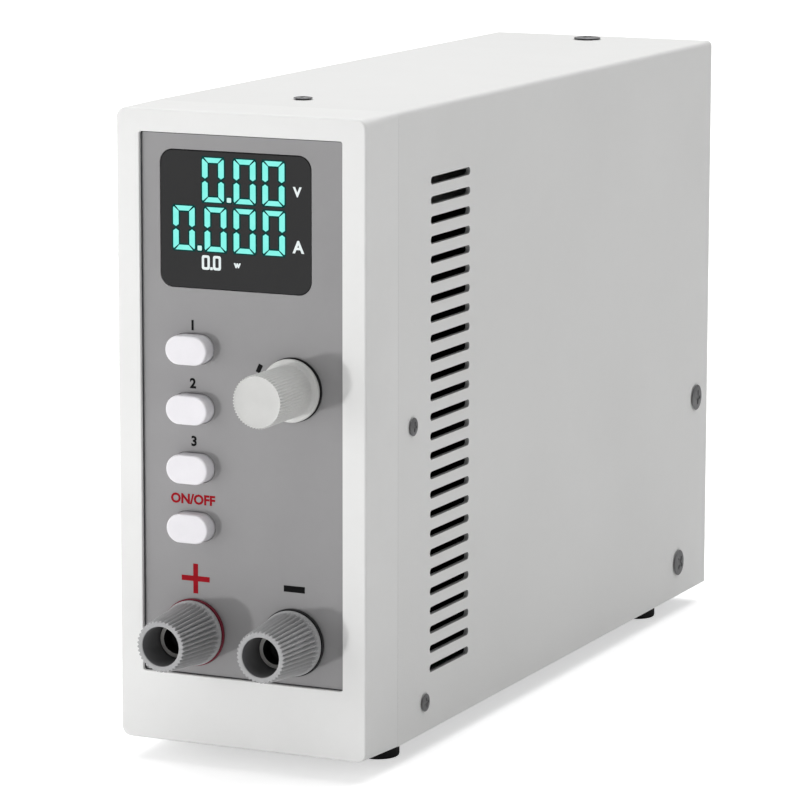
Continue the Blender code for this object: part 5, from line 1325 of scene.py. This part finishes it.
def cover():
    outer = fold_path(CASE_WIDTH, CASE_HEIGHT, FOLD_RADIUS, FOLD_STEPS)
    inner = fold_path(CASE_WIDTH - 2 * COVER_SHEET, CASE_HEIGHT - COVER_SHEET, FOLD_RADIUS - COVER_SHEET,
                      FOLD_STEPS)
    start = BEZEL_DEPTH + SEAM
    blank = folded_sheet("cover", outer, inner, start, CASE_DEPTH)
    slots = []
    for row in range(SLOT_ROWS):
        centre = (SLOT_START + SLOT_LENGTH / 2, LOWEST_SLOT + row * SLOT_PITCH)
        slots.append(stadium(SLOT_LENGTH, SLOT_HEIGHT, FOLD_STEPS, centre))
    for name in SCREW_NAMES:
        middle = middle_of(f"right_{name}_screw")
        slots.append(circle(SCREW_HOLE, SMALL_HOLE_SIDES, (middle.y - FRONT_Y, middle.z - CASE_BOTTOM)))
    across = prisms("slots", slots, -CASE_WIDTH, CASE_WIDTH)
    across.transform(Matrix.Rotation(pi / 2, 4, "Z") @ Matrix.Rotation(pi / 2, 4, "X"))
    tops = []
    for name in TOP_SCREWS:
        low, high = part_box(name)
        tops.append(circle(SCREW_HOLE, SMALL_HOLE_SIDES, (0, (low.y + high.y) / 2 - FRONT_Y)))
    down = prisms("top_holes", tops, CASE_HEIGHT - 2 * COVER_SHEET, CASE_HEIGHT + CUT_MARGIN)
    mesh = carve(blank, across, down)
    slotted = piece("slotted_cover", mesh, CASE_FRAME, "case", cover_paint, ("cover",),
                    FINE_EDGE)
    first = FRONT_Y + SLOT_START - CUT_MARGIN
    last = FRONT_Y + SLOT_START + SLOT_LENGTH + CUT_MARGIN
    side = COVER_HIGH.x - FINE_EDGE
    front_end = FRONT_Y + start + FINE_EDGE

    def is_in_shade(centre):
        """In the wall of a slot, or on the straight front end of a side."""
        in_wall = first < centre.y < last and side - COVER_SHEET + 2 * FINE_EDGE < abs(centre.x) < side
        return centre.z < COVER_HIGH.z - SLOT_PITCH and (in_wall or centre.y < front_end)

    # The darker grey on these faces is painted shade.
    paint_faces(slotted.data, slot_shade_paint, is_in_shade)


def screw_mesh(head, height):
    """A pan head with a cross recess on a plain shank, standing on z = 0."""
    radius = head / 2
    height *= SCREW_FLATNESS
    rim = SCREW_RIM * height
    profile = [(SHANK_RADIUS, -SCREW_LENGTH), (SHANK_RADIUS, CLEARANCE), (radius, CLEARANCE)]
    profile.append((radius, CLEARANCE + rim))
    for i in range(1, SCREW_DOME_STEPS + 1):
        share = i / SCREW_DOME_STEPS
        angle = pi / 2 * share
        size = radius * (SCREW_DOME * cos(angle) + (1 - SCREW_DOME) * (1 - SCREW_TAPER * share))
        profile.append((size, CLEARANCE + rim + (height - rim) * sin(angle)))
    head_mesh = turned("screw", profile, HOLE_SIDES)
    reach, half = CROSS_REACH * head, CROSS_WIDTH * head / 2
    low = CLEARANCE + height * (1 - CROSS_DEPTH)
    high = CLEARANCE + height + CUT_MARGIN
    arms = []
    for outline in (rectangle(-reach, -half, reach, half), rectangle(-half, -reach, half, reach)):
        arms.append(prisms("arm", [outline], low, high))
    return carve(head_mesh, *arms)


def screw_head(name, head, height, place, angle, nodes=()):
    """A screw head standing on a place, with its cross turned by the angle."""
    turn = place @ Matrix.Rotation(angle, 4, "Z")
    piece(f"{name}_head", screw_mesh(head, height), turn, "case", screw_black,
          nodes, FINE_EDGE, 1)


def cover_screws():
    for side, outward in (("right", RIGHT_FRAME), ("left", LEFT_FRAME)):
        for where in SCREW_NAMES:
            node = f"{side}_{where}_screw"
            low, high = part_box(node)
            middle = (low + high) / 2
            surface = COVER_HIGH.x if side == "right" else COVER_LOW.x
            height = (high.x - surface if side == "right" else surface - low.x) - CLEARANCE
            place = Matrix.Translation((surface, middle.y, middle.z)) @ outward.to_3x3().to_4x4()
            screw_head(node, high.z - low.z, height, place, middle.y * CROSS_TURN, (node,))
    for node in TOP_SCREWS:
        low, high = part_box(node)
        middle = (low + high) / 2
        place = Matrix.Translation((middle.x, middle.y, COVER_HIGH.z))
        height = high.z - COVER_HIGH.z - CLEARANCE
        screw_head(node, high.x - low.x, height, place, middle.y * CROSS_TURN, (node,))


def fan_screws():
    for x, y in FAN_CORNERS:
        centre = (x * FAN_HOLE_HALF_PITCH, FAN_HEIGHT + y * FAN_HOLE_HALF_PITCH, 0)
        name = f"fan_{'right' if x < 0 else 'left'}_{'upper' if y > 0 else 'lower'}_screw"
        place = REAR_FRAME @ Matrix.Translation(centre)
        screw_head(name, FAN_SCREW_HEAD, FAN_SCREW_HEIGHT, place, x + FAN_SCREW_TURN * y)


def feet():
    for node in ("front_left_foot", "front_right_foot", "rear_left_foot", "rear_right_foot"):
        low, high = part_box(node)
        middle = (low + high) / 2
        radius = (high.x - low.x) / 2
        bottom = low.z - CASE_BOTTOM
        dish = bottom + FOOT_DISH
        profile = [(radius / 2, dish), (radius * FOOT_DISH_FLOOR, dish), (radius * FOOT_DISH_RIM, bottom)]
        profile += [(radius - inset, bottom + drop) for inset, drop in reversed(rounding(FOOT_EDGE, 4))]
        profile += [(radius, -2 * CLEARANCE), (radius - CLEARANCE, -CLEARANCE), (FOOT_STEM, -CLEARANCE),
                    (FOOT_STEM, FOOT_STEM_LENGTH), (FOOT_BARB, FOOT_STEM_LENGTH),
                    (FOOT_BARB_TIP, FOOT_BARB_END)]
        place = Matrix.Translation((middle.x, middle.y, CASE_BOTTOM))
        pad = turned("foot", profile, FOOT_SIDES)
        piece(f"{node}_pad", pad, place, "case", foot_rubber, (node,))


# Rear pieces


def fan_holes(height):
    half = FAN_HOLE_HALF_PITCH
    return [circle(FAN_HOLE, SMALL_HOLE_SIDES, (x * half, height + y * half)) for x, y in FAN_CORNERS]


def rear_panel():
    low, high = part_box("rear_panel")
    half = (high.x - low.x) / 2
    top = high.z - CASE_BOTTOM
    blank = prisms("rear_panel", [rectangle(-half, 0, half, top)], -SHEET, 0)
    centre = (0, FAN_HEIGHT)
    openings = []
    for ring in range(GRILLE_RINGS):
        outer = FAN_DUCT - ring * (GRILLE_SLOT + GRILLE_RIB)
        margin = GRILLE_SPOKE / 2 / (outer - GRILLE_SLOT / 2)
        for spoke in range(GRILLE_SPOKES):
            start = (spoke + 0.5) * 2 * pi / GRILLE_SPOKES
            openings.append(arc_band(outer - GRILLE_SLOT, outer, start + margin,
                                     start + 2 * pi / GRILLE_SPOKES - margin, FAN_STEPS, centre))
    openings += fan_holes(FAN_HEIGHT)
    for size, height in ((INLET_HOLE, INLET_HEIGHT), (SWITCH_HOLE, SWITCH_HEIGHT)):
        openings.append(rounded_rectangle(*size, SHEET_CORNER, PRINT_STEPS, (0, height)))
    mesh = carve(blank, prisms("openings", openings, -SHEET - CUT_MARGIN, CUT_MARGIN))
    edge = half - SHEET
    flange_low = TRAY_FLANGE + 2 * SHEET
    flange_high = top - 2 * SHEET
    top_width, top_length = REAR_TOP_FLANGE
    flanges = [(rectangle(edge, flange_low, half, flange_high), REAR_FLANGE),
               (rectangle(-half, flange_low, -edge, flange_high), REAR_FLANGE),
               (rectangle(-top_width / 2, top - SHEET, top_width / 2, top), top_length)]
    ends = stacks("flanges", *[[(outline, -SHEET - length), (outline, -SHEET)]
                               for outline, length in flanges])
    back = FRONT_Y + CASE_DEPTH
    screw = middle_of("right_rear_mid_screw")
    hole = circle(SCREW_HOLE, SMALL_HOLE_SIDES, (back - screw.y, screw.z - CASE_BOTTOM))
    across = moved(prisms("hole", [hole], -CASE_WIDTH, CASE_WIDTH), Matrix.Rotation(pi / 2, 4, "Y"))
    low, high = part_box("top_rear_screw")
    hole = circle(SCREW_HOLE, SMALL_HOLE_SIDES, (0, back - (low.y + high.y) / 2))
    down = moved(prisms("hole", [hole], top - 2 * SHEET, top + CUT_MARGIN), Matrix.Rotation(-pi / 2, 4, "X"))
    whole = merged("rear_panel", [mesh, carve(ends, across, down)])
    piece("rear_plate", whole, REAR_FRAME, "case", zinc, ("rear_panel",), FINE_EDGE)


def fan_frame():
    place = REAR_FRAME @ Matrix.Translation((0, FAN_HEIGHT, 0))
    outer_face = -SHEET - CLEARANCE
    inner_face = outer_face - FAN_THICKNESS
    square = rounded_rectangle(FAN_SIZE, FAN_SIZE, FAN_CORNER, FAN_STEPS)
    duct = matching_circle(FAN_DUCT, FAN_STEPS)
    layers = [(square, outer_face), (square, inner_face), (duct, inner_face), (duct, outer_face)]
    blank = stacks("fan_frame", layers, ring=True)
    body = carve(blank, prisms("mounts", fan_holes(0), inner_face - CUT_MARGIN, outer_face + CUT_MARGIN))
    plate_top = inner_face + HUB_PLATE
    start, reach = HUB_RADIUS - STRUT_OVERLAP, FAN_DUCT + CLEARANCE
    half = STRUT_WIDTH / 2
    struts = [rectangle(start, -half, reach, half), rectangle(-reach, -half, -start, half),
              rectangle(-half, start, half, reach), rectangle(-half, -reach, half, -start)]
    bars = prisms("struts", struts, inner_face + STRUT_INSET, plate_top - STRUT_INSET)
    bearing, rim = ROTOR_SHAFT + CLEARANCE, HUB_RADIUS - HUB_CHAMFER
    hub = turned("hub", [(bearing, inner_face + HUB_FLOOR), (bearing, plate_top), (rim, plate_top),
                         (HUB_RADIUS, plate_top - HUB_CHAMFER), (HUB_RADIUS, inner_face + HUB_BACK_RUN),
                         (rim, inner_face + HUB_BACK_CHAMFER)], WHEEL_SIDES)
    whole = merged("fan_frame", [body, bars, hub])
    piece("fan_housing", whole, place, "case", black_plastic, ("fan_frame",), FINE_EDGE)


def blade_section(radius, sweep, turn, low, high):
    points = []
    shares = [i / BLADE_POINTS for i in range(BLADE_POINTS + 1)]
    for side, run in ((1, shares), (-1, shares[::-1])):
        for share in run:
            along = sweep * (share - 0.5 + BLADE_CAMBER * sin(pi * share))
            thick = BLADE_THICKNESS / 2 * (BLADE_END_THICKNESS + BLADE_SWELL * sin(pi * share))
            angle = turn + (along + side * thick) / radius
            points.append((radius * cos(angle), radius * sin(angle), low + share * (high - low)))
    return points


def fan_rotor():
    place = REAR_FRAME @ Matrix.Translation((0, FAN_HEIGHT, 0))
    outer_face = -SHEET - CLEARANCE
    inner_face = outer_face - FAN_THICKNESS
    low = inner_face + HUB_PLATE + ROTOR_GAP
    high = outer_face - ROTOR_FRONT_GAP
    profile = [(ROTOR_SHAFT, inner_face + HUB_FLOOR + CLEARANCE), (ROTOR_SHAFT, low), (HUB_RADIUS, low)]
    profile += [(HUB_RADIUS - inset, high - drop) for inset, drop in rounding(HUB_EDGE, HUB_EDGE_STEPS)]
    profile += [(HUB_RADIUS * HUB_DISH_RIM, high), (HUB_RADIUS * HUB_DISH_FLOOR, high - HUB_DISH),
                (HUB_RADIUS / 3, high - HUB_DISH)]
    hub = turned("hub", profile, WHEEL_SIDES)
    shape = bmesh.new()
    for number in range(BLADE_COUNT):
        turn = 2 * pi * number / BLADE_COUNT
        loops = []
        for i in range(BLADE_SECTIONS):
            share = i / (BLADE_SECTIONS - 1)
            radius = HUB_RADIUS - BLADE_ROOT + (ROTOR_RADIUS - HUB_RADIUS + BLADE_ROOT) * share
            sweep = BLADE_ROOT_SWEEP + (BLADE_TIP_SWEEP - BLADE_ROOT_SWEEP) * share
            loops.append(blade_section(radius, sweep, turn, low + HUB_EDGE, high - HUB_EDGE))
        skin(shape, loops)
    blades = mesh_of("blades", shape)
    piece("fan_wheel", merged("fan_rotor", [hub, blades]), place, "fan_rotor", black_plastic,
          ("fan_rotor",), FINE_EDGE)


POLISHED_NODES = [
    ("chassis_tray", "case", zinc, "zinc_sheet", FINE_EDGE),
    ("front_bracket", "case", zinc, "zinc_sheet", FINE_EDGE),
    ("power_inlet", "case", black_plastic, "black_plastic", MOULDED_EDGE),
    ("switch_housing", "case", black_plastic, "black_plastic", FINE_EDGE),
    ("rocker", "rocker", black_plastic, "black_plastic", MOULDED_EDGE),
    ("display_module", "case", black_plastic, "display_glass", MOULDED_EDGE),
    ("front_circuit_board", "case", board_green, "board_green", FINE_EDGE),
    ("main_circuit_board", "case", board_green, "board_green", FINE_EDGE),
    ("input_terminal_block", "case", black_plastic, "black_plastic", MOULDED_EDGE),
    ("heatsink", "case", anodised, "heatsink_aluminium", FINE_EDGE),
    ("power_transistor_1", "case", black_plastic, "black_plastic", FINE_EDGE),
    ("power_transistor_2", "case", black_plastic, "black_plastic", FINE_EDGE),
    ("reservoir_capacitor", "case", capacitor_sleeve, "capacitor_sleeve", MOULDED_EDGE),
    ("transformer_core", "case", core_iron, "core_iron", FINE_EDGE),
    ("transformer_winding", "case", winding_tape, "winding_tape", MOULDED_EDGE),
    ("encoder_body", "case", black_plastic, "black_plastic", FINE_EDGE),
    ("encoder_nut", "case", steel, "plain_steel", FINE_EDGE),
    ("encoder_shaft", "knob", steel, "plain_steel", FINE_EDGE),
    ("positive_post_nut", "case", brass, "brass", FINE_EDGE),
    ("negative_post_nut", "case", brass, "brass", FINE_EDGE),
]
POLISHED_NODES += [(f"tact_switch_{number}", "case", black_plastic, "black_plastic", FINE_EDGE)
                   for number in (1, 2, 3, 4)]

KEPT_NODES = {"positive_lead": lead_red, "negative_lead": lead_black}


def is_inlet_pin(point):
    spot = REAR_FRAME.inverted() @ point
    half_width, half_height = PIN_WIDTH / 2 + FINE_EDGE, PIN_HEIGHT / 2 + FINE_EDGE
    on_pin = [abs(spot.x - x) < half_width and abs(spot.y - INLET_HEIGHT - y) < half_height
              for x, y in PIN_CENTRES]
    return any(on_pin) and PIN_BACK < spot.z < PIN_FRONT


def inner_pieces():
    for node, body, material, slot, edge in POLISHED_NODES:
        obj = polished(node, body, material, edge)
        if node == "power_inlet":
            paint_faces(obj.data, nickel, is_inlet_pin)
    for node, material in KEPT_NODES.items():
        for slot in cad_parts[node].material_slots:
            slot.material = material


# Scene


def studio_floor():
    """A pale floor that shows white to the camera and lights the object no more than its colour does."""
    floor_mesh = prisms("floor", [rectangle(*FLOOR_SPAN)], -FLOOR_THICKNESS, 0)
    material, tree, shader = blank_material("pale_floor", Roughness=0.9, Specular_IOR_Level=0.1)
    patches = noise(tree, own_place(tree), FLOOR_PATCHES, 2.0)
    tree.links.new(blended(tree, patches, *FLOOR_TONES), shader.inputs["Base Color"])
    path = tree.nodes.new("ShaderNodeLightPath")
    shader.inputs["Emission Color"].default_value = WHITE
    glow = maths(tree, "MULTIPLY", path.outputs["Is Camera Ray"], FLOOR_GLOW)
    tree.links.new(glow, shader.inputs["Emission Strength"])
    floor_mesh.materials.append(material)
    ground = object_of("floor", floor_mesh)
    ground.visible_shadow = False


def studio_world():
    """Even light all round, white to the camera."""
    world = bpy.data.worlds.new("studio")
    bpy.context.scene.world = world
    world.use_nodes = True
    background = world.node_tree.nodes["Background"]
    background.inputs["Color"].default_value = WHITE
    path = world.node_tree.nodes.new("ShaderNodeLightPath")
    strength = remapped(world.node_tree, path.outputs["Is Camera Ray"], 0, 1, WORLD_LIGHT, 1.0)
    world.node_tree.links.new(strength, background.inputs["Strength"])


def facing(direction):
    """The turn of a lamp that stands in the direction and shines back from it."""
    return Vector(direction).to_track_quat("Z", "Y").to_euler()


def sun(name, direction, strength, spread):
    lamp = bpy.data.lights.new(name, "SUN")
    lamp.energy = strength
    lamp.angle = radians(spread)
    holder = object_of(name, lamp)
    holder.rotation_euler = facing(direction)
    return holder


def lamps():
    sun("overhead_light", *OVERHEAD_LIGHT)
    key = sun("left_front_light", *FRONT_LIGHT)
    key.visible_glossy = False
    lamp = bpy.data.lights.new("left_softbox", "AREA")
    lamp.size = SOFTBOX_SIZE
    lamp.energy = SOFTBOX_POWER
    softbox = object_of("left_softbox", lamp)
    softbox.location = SOFTBOX_PLACE
    softbox.rotation_euler = facing(softbox.location - Vector(SOFTBOX_AIM))
    softbox.visible_camera = False
    softbox.visible_glossy = False


def camera():
    azimuth, elevation = CAMERA_AZIMUTH, CAMERA_ELEVATION
    back = Vector((sin(azimuth) * cos(elevation), -cos(azimuth) * cos(elevation), sin(elevation)))
    level = Vector((cos(azimuth), sin(azimuth), 0))
    above = back.cross(level)
    right = cos(CAMERA_ROLL) * level + sin(CAMERA_ROLL) * above
    up = cos(CAMERA_ROLL) * above - sin(CAMERA_ROLL) * level
    location = (Vector(CAMERA_AIM) + CAMERA_DISTANCE * back) * CASE_HEIGHT
    data = bpy.data.cameras.new("camera")
    data.sensor_width = SENSOR
    data.lens = FOCAL_PIXELS * SENSOR / FRAME_PIXELS
    data.clip_start = CLIP_START
    holder = object_of("camera", data)
    turn = Matrix((right, up, back)).transposed().to_4x4()
    holder.matrix_world = CASE_FRAME @ Matrix.Translation(location) @ turn
    bpy.context.scene.camera = holder
    bpy.context.scene.view_settings.view_transform = "Standard"


camera()
studio_floor()
studio_world()
lamps()
front_bezel()
front_panel()
opening_shade_strip()
panel_signs()
window_pane()
display_signs()
push_buttons()
knob()
binding_post("positive", collar_red)
binding_post("negative", collar_black)
cover()
cover_screws()
feet()
rear_panel()
fan_screws()
fan_frame()
fan_rotor()
inner_pieces()
